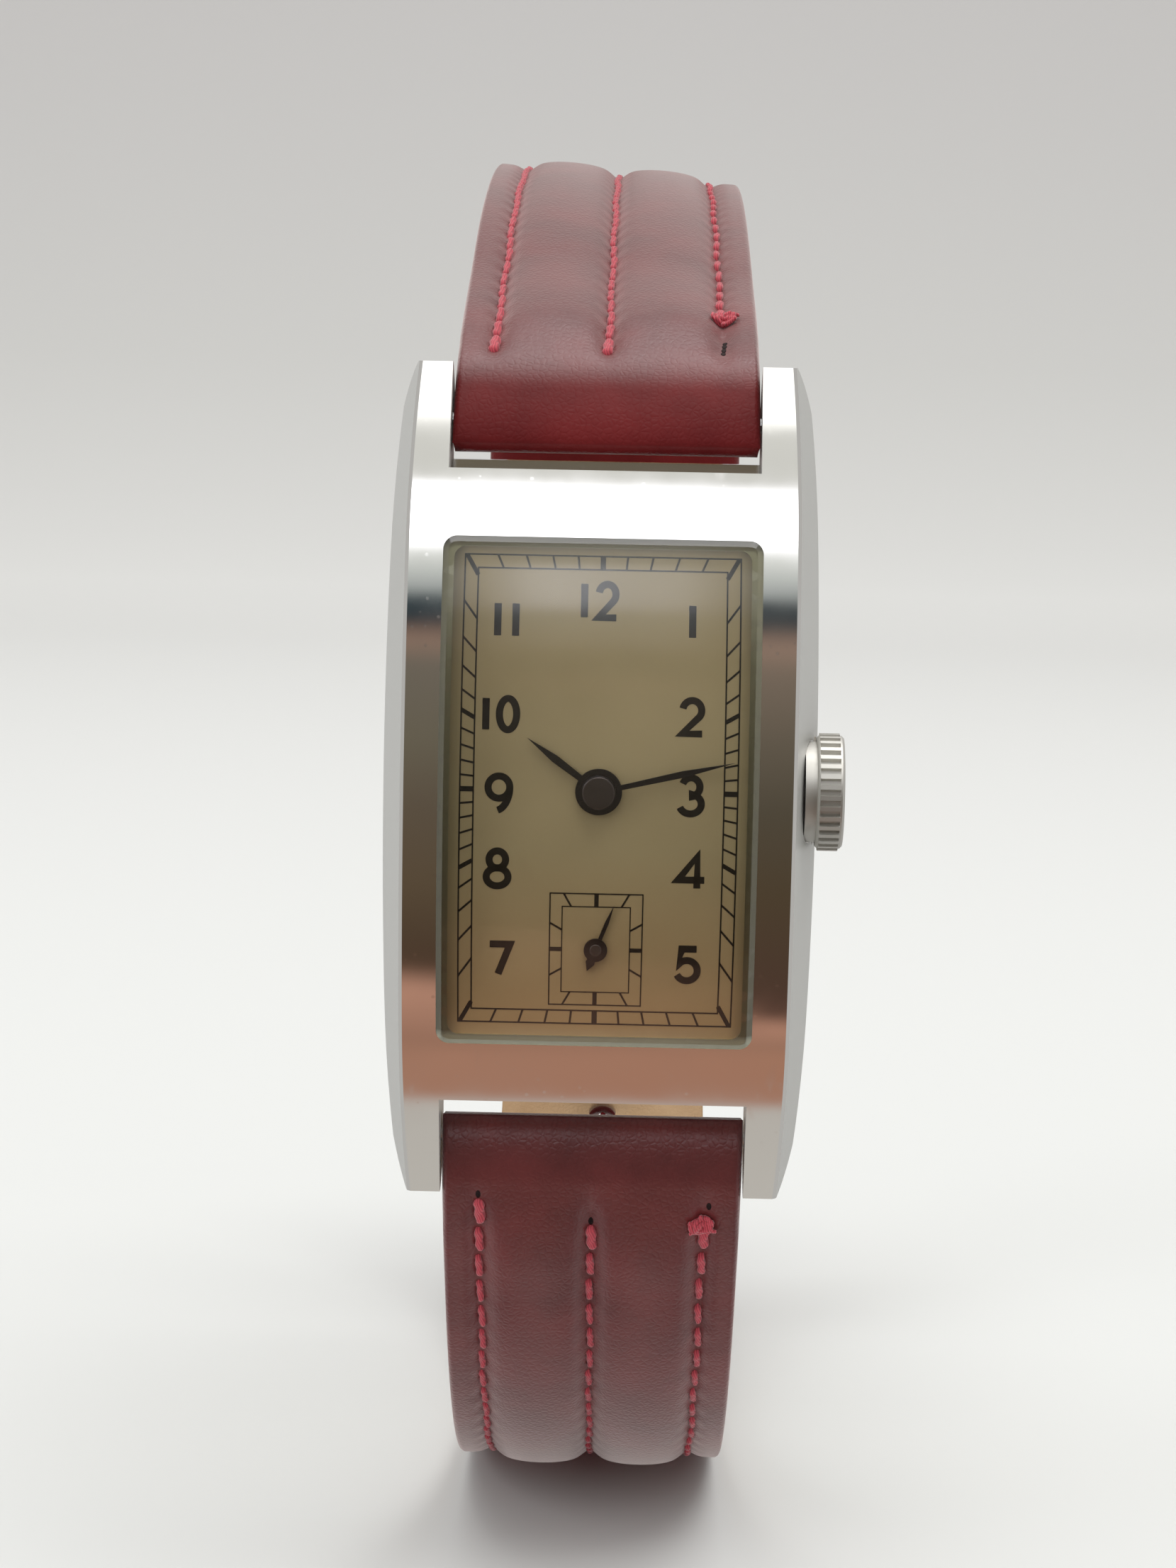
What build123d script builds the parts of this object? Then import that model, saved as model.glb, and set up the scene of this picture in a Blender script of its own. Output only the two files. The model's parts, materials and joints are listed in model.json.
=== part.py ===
from build123d import *
import math
import os

# Rectangular wristwatch with a curved case, a small seconds dial and a leather strap
# All lengths in millimetres
# Modelled dial up: x towards 3 o'clock, y towards 12 o'clock, z towards the reader
# Origin on the outer face of the case back, on the axis of the hands
# Written upright: the dial faces minus Y and 12 o'clock is up

# Case
CASE_LENGTH = 43.6
FACE_WIDTH = 20.1
FACE_TAPER = 0.35
TAPER_START_Y = 12.0
EDGE_STATIONS = 8
EDGE_MARGIN = 0.5
CREST_Z = 7.4
FRONT_RADIUS = 45.0
FLANK_DRAFT = 11.3
UNDERSIDE_Z = 0.9
UNDERSIDE_RADIUS = 90.0
TIP_START_Y = 19.4
TIP_EDGE = 0.5
TIP_BULGE_Y = 20.9
TIP_BULGE_Z = -0.1
FACE_BEVEL = 0.15
BEVEL_SLOPE = 45.0
SLOT_Y = 16.4
SLOT_WIDTH = 16.0
SLOT_RIM_Z = 0.9
SLOT_RIM = 0.35
OVERRUN = 20.0

# Radii below which a hidden shaft gets fewer flats
THIN_R = 0.31
SHAFT_R = 0.7
WHEEL_R = 1.6

# Crystal and dial
CRYSTAL_WIDTH = 16.3
CRYSTAL_LENGTH = 26.2
CRYSTAL_Y = -0.1
CRYSTAL_PROUD = 0.55
CRYSTAL_RADIUS = 40.0
CRYSTAL_THICK = 0.65
CRYSTAL_BEVEL = 0.3
CRYSTAL_CORNER = 0.7
LEDGE = 0.6
DIAL_THICK = 0.4
DIAL_HOLE = 0.8
SECONDS_HOLE = 0.25
CAVITY_WIDTH = 18.2
CAVITY_LENGTH = 26.6
CAVITY_CORNER = 1.2
CASING_GAP = 0.1

# Case back
BACK_WIDTH = 19.7
BACK_LENGTH = 27.8
BACK_THICK = 0.8
BACK_SEAT_Z = 1.0
BACK_CORNER = 2.0
BACK_GAP = 0.05
RIM_OUTER_GAP = 0.05
RIM_WALL_X = 0.6
RIM_WALL_Y = 0.7

# Movement levels, from the outer face of the bridges towards the dial
BRIDGE_Z = 1.5
SEAT_Z = 2.0
DIAL_SEAT_Z = 4.6
MOTION_Z = 3.85
RUN_GAP = 0.06
CENTRE_WHEEL_LOW = SEAT_Z + 0.1
BALANCE_LOW = SEAT_Z + 0.4
BALANCE_HIGH = SEAT_Z + 0.7
FOURTH_LOW = SEAT_Z + 0.85
ESCAPE_LOW = SEAT_Z + 1.1
THIRD_LOW = SEAT_Z + 1.15
DRUM_LOW = SEAT_Z + 0.45
DRUM_HIGH = SEAT_Z + 1.35
WHEEL_THICK = 0.15
PINION_THICK = 0.3
DEEP_Z = SEAT_Z + 1.42
INNER_WIDTH = 16.8
INNER_LENGTH = 24.9

# Train positions
CENTRE = (0, 0)
FOURTH_Y = -8.1
FOURTH = (0, FOURTH_Y)
THIRD_X = -3.2
THIRD_Y = -4.6
THIRD = (THIRD_X, THIRD_Y)
ESCAPE_X = 3.3
ESCAPE_Y = -10.1
ESCAPE = (ESCAPE_X, ESCAPE_Y)
BALANCE_X = 4.75
BALANCE_Y = -5.0
BALANCE = (BALANCE_X, BALANCE_Y)
BARREL_X = 1.2
BARREL_Y = 6.45
BARREL = (BARREL_X, BARREL_Y)
CROWN_WHEEL_X = 4.4
CROWN_WHEEL = (CROWN_WHEEL_X, 0)
PALLET_REACH = 2.35
MINUTE_WHEEL_X = 1.15
MINUTE_WHEEL_Y = -2.11
MINUTE_WHEEL = (MINUTE_WHEEL_X, MINUTE_WHEEL_Y)
SETTING_X = 2.74
SETTING_WHEEL = (SETTING_X, 0)

# Teeth
CENTRE_TEETH = 64
THIRD_PINION_TEETH = 8
THIRD_TEETH = 60
FOURTH_PINION_TEETH = 8
FOURTH_TEETH = 70
ESCAPE_PINION_TEETH = 7
ESCAPE_TEETH = 15
BARREL_TEETH = 72
CENTRE_PINION_TEETH = 10
CANNON_TEETH = 10
MINUTE_TEETH = 30
MINUTE_PINION_TEETH = 8
HOUR_TEETH = 32
SETTING_TEETH = 14
WINDING_TEETH = 10
CROWN_WHEEL_TEETH = 22
RATCHET_TEETH = 36
FINE_TEETH = 40
TOOTH_TIP_SHARE = 0.85
TOOTH_BASE_SHARE = 0.33
TOOTH_TOP_SHARE = 0.13
WINDING_MODULE = 0.25
MOTION_MODULE = 0.12

# Arbors, pivots and jewels
ARBOR_R = 0.2
PIVOT_R = 0.1
PIVOT_LENGTH = 0.28
PIVOT_GAP = 0.02
JEWEL_R = 0.5
JEWEL_THICK = 0.25
OIL_R = 0.25
CENTRE_ARBOR_R = 0.3
ARBOR_CLEARANCE = 0.06
CANNON_R = 0.45
HOUR_PIPE_IN = 0.5
HOUR_PIPE_OUT = 0.68
BARREL_ARBOR_R = 0.6
POST_R = 0.25
POST_GAP = 0.04

# Barrel and springs
DRUM_R = 5.5
DRUM_WALL = 0.3
DRUM_FLOOR = 0.2
COVER_THICK = 0.12
MAINSPRING_IN = 0.95
MAINSPRING_TURNS = 5
MAINSPRING_STRIP = 0.12
HAIRSPRING_IN = 0.42
HAIRSPRING_OUT = 1.55
HAIRSPRING_TURNS = 5
HAIRSPRING_STRIP = 0.05
HAIRSPRING_LOW = SEAT_Z + 0.12
HAIRSPRING_HIGH = SEAT_Z + 0.28

# Balance and escapement
BALANCE_R = 3.6
BALANCE_RIM = 0.5
SPOKE = 0.5
ROLLER_R = 0.9
ROLLER_LOW = SEAT_Z + 0.85
ROLLER_HIGH = SEAT_Z + 0.95
PIN_RADIUS = 0.7
PIN_R = 0.08
ESCAPE_TIP_R = 1.75
ESCAPE_ROOT_R = 1.25
FORK_HALF = 0.16
FORK_ARM_HALF = 0.18
FORK_SPAN = 1.2
STONE_LENGTH = 0.6
FORK_END_GAP = 0.95
PALLET_COCK_LOW = SEAT_Z + 0.8
PALLET_COCK_HIGH = SEAT_Z + 1.05
PALLET_COCK_HALF = 0.3
PALLET_FOOT_R = 0.6
PALLET_FOOT_X = 7.2
PALLET_FOOT_Y = -9.2
COCK_HALF = 1.5
COCK_FOOT_X = 6.6
COCK_FOOT_Y = -10.9

# Bridges and screws
SPLIT_Y = 1.3
SPLIT_GAP = 0.15
TRAIN_BRIDGE_X = 1.9
CROWN_DISC_R = 3.25
RECESS_Z = 1.75
TOP_WHEEL_LOW = 1.52
TOP_WHEEL_HIGH = 1.68
SCREW_X = 7.2
SCREW_Y = 11.2
SIDE_SCREW_X = 7.4
SIDE_SCREW_Y = 2.9
TRAIN_SCREW_Y = 0.1
SCREW_HEAD_R = 0.6
SCREW_HEAD = 0.2
SCREW_R = 0.3
SCREW_END_Z = 3.1
SCREW_SLOT = 0.12
BOSS_R = 0.5
BOSS_HEIGHT = 0.3
REGULATOR_R = 0.95
REGULATOR_THICK = 0.2
REGULATOR_LENGTH = 2.6
REGULATOR_HALF = 0.14
SLIM_GAP = 0.02
CLICK_PIVOT_R = 6.3
CLICK_PIVOT_ANGLE = 160
CLICK_TIP_R = 4.9
CLICK_TIP_ANGLE = 186
CLICK_HALF = 0.3
CLICK_POST_R = 0.25
CLICK_SPRING_HALF = 0.12
CLICK_SPRING_START_R = 8.4
CLICK_SPRING_START_ANGLE = 172
CLICK_SPRING_END_R = 6.05
CLICK_SPRING_END_ANGLE = 180

# Keyless work
STEM_Z = 3.05
STEM_R = 0.45
STEM_BORE = 0.5
STEM_START_X = 2.6
GROOVE_X = 7.95
GROOVE_HALF = 0.25
GROOVE_R = 0.28
PINION_START_X = 6.95
PINION_END_X = 7.5
CLUTCH_START_X = 3.9
CLUTCH_END_X = 6.8
CLUTCH_R = 0.75
CLUTCH_GROOVE_X = 5.1
CLUTCH_GROOVE_R = 0.55
CLUTCH_TEETH = 9
CLUTCH_MODULE = 0.13
CLUTCH_TOOTH_LENGTH = 0.3
SETTING_TRAVEL = 0.5
LEVER_LOW = 4.0
LEVER_HIGH = 4.2
LEVER_HALF = 0.24
LEVER_PIVOT_X = 8.3
LEVER_PIVOT_Y = 2.5
LEVER_PIN_R = 0.12
LEVER_PIN_Z = 3.38
YOKE_PIVOT_Y = -3.2
YOKE_PIN_Z = 3.64
KEYLESS_START_X = 4.2
KEYLESS_END_X = 9.0
KEYLESS_HALF = 3.7
LEVER_SPRING_START_X = 5.6
LEVER_SPRING_Y = 3.3
LEVER_SPRING_END_X = 7.7
LEVER_SPRING_HALF = 0.13
SETTING_LOW = 3.7
SETTING_HIGH = 4.12
SETTING_POCKET_Z = 3.65

# Crown
CROWN_R = 3.05
CROWN_START_X = 11.2
CROWN_END_X = 12.6
CROWN_BASE = 0.14
CROWN_RIM = 0.22
CROWN_RIDGES = 34
CROWN_RIDGE_DEPTH = 0.24
CROWN_VALLEY_SHARE = 0.3
CROWN_CREST_SHARE = 0.2
CROWN_SKIRT_R = 2.6
CROWN_SKIRT_X = 10.6
SKIRT_RELIEF_R = 2.68
SKIRT_RELIEF_X = 10.54
CROWN_RELIEF_X = 11.12
CROWN_RELIEF_R = 3.15
CROWN_BORE_R = 1.0
CROWN_BORE_END_X = 12.0
TUBE_R = 0.9
TUBE_END_X = 11.8

# Hands
BLADE_WIDE_SHARE = 0.62
HOUR_HAND_LENGTH = 4.5
HOUR_HAND_HALF = 0.2
HOUR_HAND_NECK = 0.13
HOUR_HUB_R = 1.18
HOUR_HAND_LOW = 5.15
HOUR_HAND_THICK = 0.15
HOUR_TIME_ANGLE = 306.4
MINUTE_HAND_LENGTH = 7.0
MINUTE_HAND_HALF = 0.17
MINUTE_HAND_NECK = 0.11
MINUTE_HUB_R = 0.88
MINUTE_HAND_LOW = 5.42
MINUTE_HAND_THICK = 0.12
MINUTE_HUB_HIGH = 5.82
MINUTE_HUB_BEVEL = 0.1
MINUTE_TIME_ANGLE = 76.5
SECONDS_HAND_LENGTH = 2.5
SECONDS_HAND_HALF = 0.1
SECONDS_TAIL_LENGTH = 1.17
SECONDS_TAIL_HALF = 0.24
SECONDS_HUB_R = 0.6
SECONDS_HAND_LOW = 5.1
SECONDS_HAND_THICK = 0.1
SECONDS_HUB_HIGH = 5.3
SECONDS_TIME_ANGLE = 21.3

# Spring bars
BAR_INSET = 3.0
BAR_Y = CASE_LENGTH / 2 - BAR_INSET
BAR_Z = 1.0
BAR_R = 0.75
BAR_HALF = 7.6
BAR_BORE_R = 0.45
PIN_BAR_R = 0.4
PIN_BAR_START = 5.6
PIN_BAR_END = 9.2
LUG_HOLE_R = 0.43
LUG_HOLE_END = 9.4

# Strap
STRAP_WIDTH = 15.9
BUCKLE_WIDTH = 14.0
LOOP_R = 1.45
LOOP_BORE = 0.82
BUCKLE_LOOP_R = 1.35
UPPER_HEADING = 57.0
UPPER_HORIZON = 85.0
UPPER_RADIUS = 90.0
LOWER_HEADING = 12.5
LOWER_HORIZON = 74.0
LOWER_RADIUS = 30.2
SHORT_RADIUS = 14.0
SHORT_HEADING = 180.0
SHORT_STRAIGHT = 16.5
LONG_RADIUS = 45.0
LONG_LENGTH = 114.0
FLANGE_TOP = 0.95
LEATHER_BASE = -0.6
LINING_BASE = -1.4
END_FLANGE_TOP = 0.35
RIB_HEIGHT = 0.55
END_RIB_HEIGHT = 0.3
FLANGE = 1.9
RIB_SHOULDER = 0.7
RIB_EDGE = 0.15
RIB_SHOULDER_SHARE = 0.62
RIB_START = 1.2
RIB_FULL = 5.5
FOLD_LENGTH = 4.6
FOLD_STEP = 0.5
TIP_LENGTH = 11.0
TIP_WIDTH = 4.4
TIP_ROUND_SHARE = 0.65
TIP_STATION_SHARES = (1, 0.75, 0.5, 0.3, 0.15, 0.05)
HOLE_R = 0.95
HOLE_PITCH = 6.5
HOLE_COUNT = 7
FIRST_HOLE = 22.0
TONGUE_SLOT = 3.0
TONGUE_SLOT_LENGTH = 5.2
SHORT_STATIONS = 15
LONG_STATIONS = 19

# Buckle and keepers
FRAME_WIDTH = 18.2
FRAME_INNER = 14.9
FRAME_LENGTH = 10.6
FRAME_HEEL = 1.3
FRAME_FRONT = 2.0
FRAME_THICK = 1.8
FRAME_CORNER = 1.6
BUCKLE_BAR_R = 0.75
TONGUE_WIDTH = 2.2
TONGUE_LOOP_R = 1.3
TONGUE_GAP = 0.03
TONGUE_THICK = 0.9
TONGUE_OVERHANG = 0.5
TONGUE_DROP = 0.35
KEEPER_LENGTH = 5.0
KEEPER_WALL = 0.9
KEEPER_CORNER = 1.17
KEEPER_HEIGHT = 4.6
KEEPER_ROOM = 0.2
FIXED_KEEPER_BACK = 5.6
FREE_KEEPER_GAP = 0.1


def prism(radius, height):
    """A hidden round piece drawn with flats: few on a thin shaft, more on a wide wheel."""
    sides = 8 if radius < THIN_R else 12 if radius < SHAFT_R else 16 if radius < WHEEL_R else 24
    return extrude(RegularPolygon(radius, sides), amount=height)


def disc(radius, low, high, at=CENTRE):
    """A disc, shaft or hole of the movement between two levels."""
    return Pos(at[0], at[1], low) * prism(radius, high - low)


def true_disc(radius, low, high, at=CENTRE):
    """A truly round disc between two levels, for what is seen."""
    return Pos(at[0], at[1], (low + high) / 2) * Cylinder(radius, high - low)


def slab(width, length, low, high, corner, at=CENTRE):
    """A rounded rectangular plate between two levels."""
    outline = RectangleRounded(width, length, corner)
    return Pos(at[0], at[1], low) * extrude(outline, amount=high - low)


def block(x0, x1, y0, y1, low, high):
    """A plain box given by its faces."""
    middle = Pos((x0 + x1) / 2, (y0 + y1) / 2, (low + high) / 2)
    return middle * Box(x1 - x0, y1 - y0, high - low)


def rod(radius, x0, x1, y=0, z=STEM_Z):
    """A hidden shaft or bore along x."""
    return Pos(x0, y, z) * Rot(0, 90, 0) * prism(radius, x1 - x0)


def true_rod(radius, x0, x1, y=0, z=STEM_Z):
    """A truly round rod along x, for what is seen."""
    return Pos((x0 + x1) / 2, y, z) * Rot(0, 90, 0) * Cylinder(radius, x1 - x0)


def strip(start, end, half, low, high):
    """A flat arm with round ends between two points."""
    turn = bearing(start, end)
    ends = [(start, side) for side in (90, 135, 180, 225, 270)]
    ends += [(end, side) for side in (-90, -45, 0, 45, 90)]
    outline = Polygon(*[around(point, half, turn + side) for point, side in ends], align=None)
    return Pos(0, 0, low) * extrude(outline, amount=high - low, dir=(0, 0, 1))


def around(centre, radius, angle):
    """A point at a radius and an angle in degrees about a centre."""
    turn = math.radians(angle)
    return (centre[0] + radius * math.cos(turn), centre[1] + radius * math.sin(turn))


def bearing(start, end):
    """Direction in degrees from one point to another."""
    return math.degrees(math.atan2(end[1] - start[1], end[0] - start[0]))


def toothed(teeth, module, low, high, at=CENTRE, turn=0):
    """A spur wheel with trapezoid teeth, one tooth centred on the turn angle."""
    pitch = teeth * module / 2
    root, tip = pitch - module, pitch + module * TOOTH_TIP_SHARE
    step = 360 / teeth
    points = []
    for tooth in range(teeth):
        middle = turn + tooth * step
        if teeth > FINE_TEETH:
            points.append(around(CENTRE, tip, middle))
            points.append(around(CENTRE, root, middle + step / 2))
            continue
        points.append(around(CENTRE, root, middle - step * TOOTH_BASE_SHARE))
        points.append(around(CENTRE, tip, middle - step * TOOTH_TOP_SHARE))
        points.append(around(CENTRE, tip, middle + step * TOOTH_TOP_SHARE))
        points.append(around(CENTRE, root, middle + step * TOOTH_BASE_SHARE))
    return Pos(at[0], at[1], low) * extrude(Polygon(*points, align=None), amount=high - low)


def spiral(inner, outer, turns, strip_thick, low, high, at, steps=16):
    """A flat spiral spring of constant pitch."""
    count = turns * steps
    near, far = [], []
    for index in range(count + 1):
        radius = inner + (outer - inner) * index / count
        angle = 360 * index / steps
        near.append(around(CENTRE, radius - strip_thick / 2, angle))
        far.append(around(CENTRE, radius + strip_thick / 2, angle))
    outline = Polygon(*(near + far[::-1]), align=None)
    return Pos(at[0], at[1], low) * extrude(outline, amount=high - low, dir=(0, 0, 1))


def mesh_turn(first, second, teeth_first, turn_first, teeth_second):
    """Turn angle that puts a gap of the second wheel on the facing tooth of the first."""
    line = bearing(first, second)
    step_first = 360 / teeth_first
    off = ((line - turn_first) / step_first) % 1
    step_second = 360 / teeth_second
    return line + 180 + step_second / 2 + off * step_second


def pair_module(first, second, teeth_first, teeth_second):
    """Module that makes two wheels meet at their centre distance."""
    return 2 * math.dist(first, second) / (teeth_first + teeth_second)


PALLET = around(ESCAPE, PALLET_REACH, bearing(ESCAPE, BALANCE))
PALLET_FOOT = (PALLET_FOOT_X, PALLET_FOOT_Y)
COCK_FOOT = (COCK_FOOT_X, COCK_FOOT_Y)
CLICK_PIVOT = around(BARREL, CLICK_PIVOT_R, CLICK_PIVOT_ANGLE)
CLICK_TIP = around(BARREL, CLICK_TIP_R, CLICK_TIP_ANGLE)
CLICK_SPRING_START = around(BARREL, CLICK_SPRING_START_R, CLICK_SPRING_START_ANGLE)
CLICK_SPRING_END = around(BARREL, CLICK_SPRING_END_R, CLICK_SPRING_END_ANGLE)
LEVER_PIVOT = (LEVER_PIVOT_X, LEVER_PIVOT_Y)
YOKE_PIVOT = (CLUTCH_GROOVE_X, YOKE_PIVOT_Y)
CASE_HALF = CASE_LENGTH / 2
CRYSTAL_PLACE = (0, CRYSTAL_Y)
CENTRE_MODULE = pair_module(CENTRE, THIRD, CENTRE_TEETH, THIRD_PINION_TEETH)
THIRD_MODULE = pair_module(THIRD, FOURTH, THIRD_TEETH, FOURTH_PINION_TEETH)
FOURTH_MODULE = pair_module(FOURTH, ESCAPE, FOURTH_TEETH, ESCAPE_PINION_TEETH)
BARREL_MODULE = pair_module(BARREL, CENTRE, BARREL_TEETH, CENTRE_PINION_TEETH)


def front_z(y):
    """Height of the polished front above the back plane."""
    return CREST_Z - FRONT_RADIUS + math.sqrt(FRONT_RADIUS**2 - y**2)


def under_z(y):
    """Height of the curved underside."""
    return UNDERSIDE_Z - UNDERSIDE_RADIUS + math.sqrt(UNDERSIDE_RADIUS**2 - y**2)


def lengthwise(points_and_arcs, half_width):
    """Extrudes a side view outline to both sides of the long axis."""
    return extrude(Plane.YZ * make_face(points_and_arcs), amount=half_width, both=True)


def front_region():
    """Side view of everything under the front curve."""
    left, right = (-CASE_HALF, front_z(CASE_HALF)), (CASE_HALF, front_z(CASE_HALF))
    floor = -OVERRUN
    return [
        ThreePointArc(left, (0, CREST_Z), right),
        Line(right, (CASE_HALF, floor)),
        Line((CASE_HALF, floor), (-CASE_HALF, floor)),
        Line((-CASE_HALF, floor), left),
    ]


def underside_region():
    """Side view of everything over the curved underside and the rounded horn tips."""
    start = under_z(TIP_START_Y)
    tip = front_z(CASE_HALF) - TIP_EDGE
    edges = [ThreePointArc((-TIP_START_Y, start), (0, UNDERSIDE_Z), (TIP_START_Y, start))]
    edges.append(ThreePointArc((TIP_START_Y, start), (TIP_BULGE_Y, TIP_BULGE_Z), (CASE_HALF, tip)))
    edges.append(Line((CASE_HALF, tip), (CASE_HALF, OVERRUN)))
    edges.append(Line((CASE_HALF, OVERRUN), (-CASE_HALF, OVERRUN)))
    edges.append(Line((-CASE_HALF, OVERRUN), (-CASE_HALF, tip)))
    edges.append(ThreePointArc((-CASE_HALF, tip), (-TIP_BULGE_Y, TIP_BULGE_Z), (-TIP_START_Y, start)))
    return edges


def face_half(y):
    """Half width of the polished face, drawing in towards the horn tips."""
    past = max(0, abs(y) - TAPER_START_Y) / (CASE_HALF - TAPER_START_Y)
    return FACE_WIDTH / 2 - FACE_TAPER * past**2


def side_solid(inset, slope_deg):
    """Everything inside one long side: the line of the face's edge carried down at a slope."""
    slope = math.radians(slope_deg)
    reach = CASE_HALF + EDGE_MARGIN
    points = []
    for index in range(-EDGE_STATIONS, EDGE_STATIONS + 1):
        y = reach * index / EDGE_STATIONS
        fall = (CREST_Z - front_z(y)) * math.tan(slope)
        points.append((face_half(y) - inset - fall, y))
    far = -OVERRUN * 2
    outline = [
        Spline(*points),
        Line(points[-1], (far, reach)),
        Line((far, reach), (far, -reach)),
        Line((far, -reach), points[0]),
    ]
    depth = OVERRUN / 2 / math.cos(slope)
    region = Pos(0, 0, CREST_Z) * make_face(outline)
    return extrude(region, amount=depth, dir=(math.sin(slope), 0, -math.cos(slope)))


def make_case_shape():
    """Flat crosswise front, narrow bevels and sloping flanks that follow the lengthwise curve."""
    side = side_solid(0, FLANK_DRAFT) & side_solid(FACE_BEVEL, BEVEL_SLOPE)
    core = side & mirror(side, about=Plane.YZ)
    return core & lengthwise(front_region(), OVERRUN) & lengthwise(underside_region(), OVERRUN)


def case_body():
    """Case middle with horns, crystal seat, movement cavity, back seat and stem hole."""
    body = make_case_shape()
    far = CASE_HALF + OVERRUN
    half = SLOT_WIDTH / 2
    for side in (1, -1):
        ends = sorted((side * SLOT_Y, side * far))
        low_ends = sorted((side * (SLOT_Y + SLOT_RIM), side * far))
        body -= block(-half, half, ends[0], ends[1], SLOT_RIM_Z, OVERRUN)
        body -= block(-half, half, low_ends[0], low_ends[1], -OVERRUN, SLOT_RIM_Z)
        body -= rod(LUG_HOLE_R, -LUG_HOLE_END, LUG_HOLE_END, side * BAR_Y, BAR_Z)
    ceiling = DIAL_SEAT_Z + DIAL_THICK
    body -= slab(CAVITY_WIDTH, CAVITY_LENGTH, -OVERRUN, ceiling, CAVITY_CORNER)
    wide, long = BACK_WIDTH + BACK_GAP + BACK_GAP, BACK_LENGTH + BACK_GAP + BACK_GAP
    body -= slab(wide, long, -OVERRUN, BACK_SEAT_Z, BACK_CORNER)
    inner_wide, inner_long = CRYSTAL_WIDTH - LEDGE - LEDGE, CRYSTAL_LENGTH - LEDGE - LEDGE
    body -= slab(inner_wide, inner_long, ceiling, OVERRUN, LEDGE, CRYSTAL_PLACE)
    seat = slab(CRYSTAL_WIDTH, CRYSTAL_LENGTH, DIAL_SEAT_Z, OVERRUN, CRYSTAL_CORNER, CRYSTAL_PLACE)
    body -= seat - crystal_cylinder(CRYSTAL_THICK)
    body -= rod(TUBE_R, CAVITY_WIDTH / 2 - CAVITY_CORNER, OVERRUN)
    body -= true_rod(CROWN_RELIEF_R, CROWN_RELIEF_X, OVERRUN)
    body -= true_rod(SKIRT_RELIEF_R, SKIRT_RELIEF_X, OVERRUN)
    return body


def crystal_cylinder(depth):
    """Lengthwise round whose skin is the crystal's outer face less a depth."""
    centre_z = CREST_Z + CRYSTAL_PROUD - CRYSTAL_RADIUS
    return Pos(0, 0, centre_z) * Rot(0, 90, 0) * Cylinder(CRYSTAL_RADIUS - depth, OVERRUN * 2)


def crystal():
    """Curved crystal with bevelled upper edges."""
    plate = slab(CRYSTAL_WIDTH, CRYSTAL_LENGTH, DIAL_SEAT_Z, OVERRUN, CRYSTAL_CORNER, CRYSTAL_PLACE)
    shape = (plate & crystal_cylinder(0)) - crystal_cylinder(CRYSTAL_THICK)
    rims = [edge for edge in shape.edges() if edge.center().Z > front_z(edge.center().Y) + SLIM_GAP]
    return chamfer(rims, CRYSTAL_BEVEL)


def case_back():
    """Flat pressed-on back with a rim that carries the movement."""
    plate = slab(BACK_WIDTH, BACK_LENGTH, 0, BACK_SEAT_Z, BACK_CORNER)
    outer_x = CAVITY_WIDTH - RIM_OUTER_GAP - RIM_OUTER_GAP
    outer_y = CAVITY_LENGTH - RIM_OUTER_GAP - RIM_OUTER_GAP
    inner_x, inner_y = outer_x - RIM_WALL_X * 2, outer_y - RIM_WALL_Y * 2
    rim = slab(outer_x, outer_y, BACK_THICK, SEAT_Z, CAVITY_CORNER)
    hollow = slab(inner_x, inner_y, BACK_THICK, OVERRUN, CAVITY_CORNER / 2)
    shape = plate + rim - hollow
    return chamfer(shape.faces().sort_by(Axis.Z)[0].edges(), FACE_BEVEL)


def dial():
    """Dial plate with holes for the hand arbors."""
    wide, long = CAVITY_WIDTH - CASING_GAP * 2, CAVITY_LENGTH - CASING_GAP * 2
    plate = slab(wide, long, DIAL_SEAT_Z, DIAL_SEAT_Z + DIAL_THICK, CAVITY_CORNER)
    plate -= true_disc(DIAL_HOLE, 0, OVERRUN)
    return plate - disc(SECONDS_HOLE, 0, OVERRUN, FOURTH)


def screw_points():
    """Bridge screws, clear of every wheel pocket."""
    barrel = [(-SCREW_X, SCREW_Y), (SCREW_X, SCREW_Y), (-SIDE_SCREW_X, SIDE_SCREW_Y)]
    train = [(-SCREW_X, -SCREW_Y), (-SIDE_SCREW_X, -TRAIN_SCREW_Y)]
    return barrel, train, [COCK_FOOT]


def wheel_pockets():
    """Rooms for the wheels, each from the seat to past its own level."""
    rooms = disc(pitch_r(CENTRE_TEETH, CENTRE_MODULE), SEAT_Z, CENTRE_WHEEL_LOW + WHEEL_THICK + RUN_GAP)
    rooms += disc(pitch_r(CENTRE_PINION_TEETH, BARREL_MODULE), SEAT_Z, DEEP_Z)
    rooms += disc(pitch_r(THIRD_TEETH, THIRD_MODULE), SEAT_Z, DEEP_Z, THIRD)
    rooms += disc(pitch_r(FOURTH_TEETH, FOURTH_MODULE), SEAT_Z, FOURTH_LOW + WHEEL_THICK + RUN_GAP, FOURTH)
    rooms += disc(pitch_r(FOURTH_PINION_TEETH, THIRD_MODULE), SEAT_Z, DEEP_Z, FOURTH)
    rooms += disc(ESCAPE_TIP_R + WHEEL_THICK, SEAT_Z, DEEP_Z, ESCAPE)
    rooms += disc(BALANCE_R + WHEEL_THICK, SEAT_Z, BALANCE_HIGH + RUN_GAP, BALANCE)
    rooms += disc(ROLLER_R + WHEEL_THICK, SEAT_Z, DEEP_Z, BALANCE)
    rooms += strip(ESCAPE, BALANCE, FORK_SPAN + FORK_HALF * 2, PALLET_COCK_HIGH, DEEP_Z)
    rooms += disc(pitch_r(BARREL_TEETH, BARREL_MODULE), SEAT_Z, DEEP_Z, BARREL)
    return rooms


def pitch_r(teeth, module):
    """Radius of the room that a toothed wheel needs."""
    return teeth * module / 2 + module + WHEEL_THICK


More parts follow.
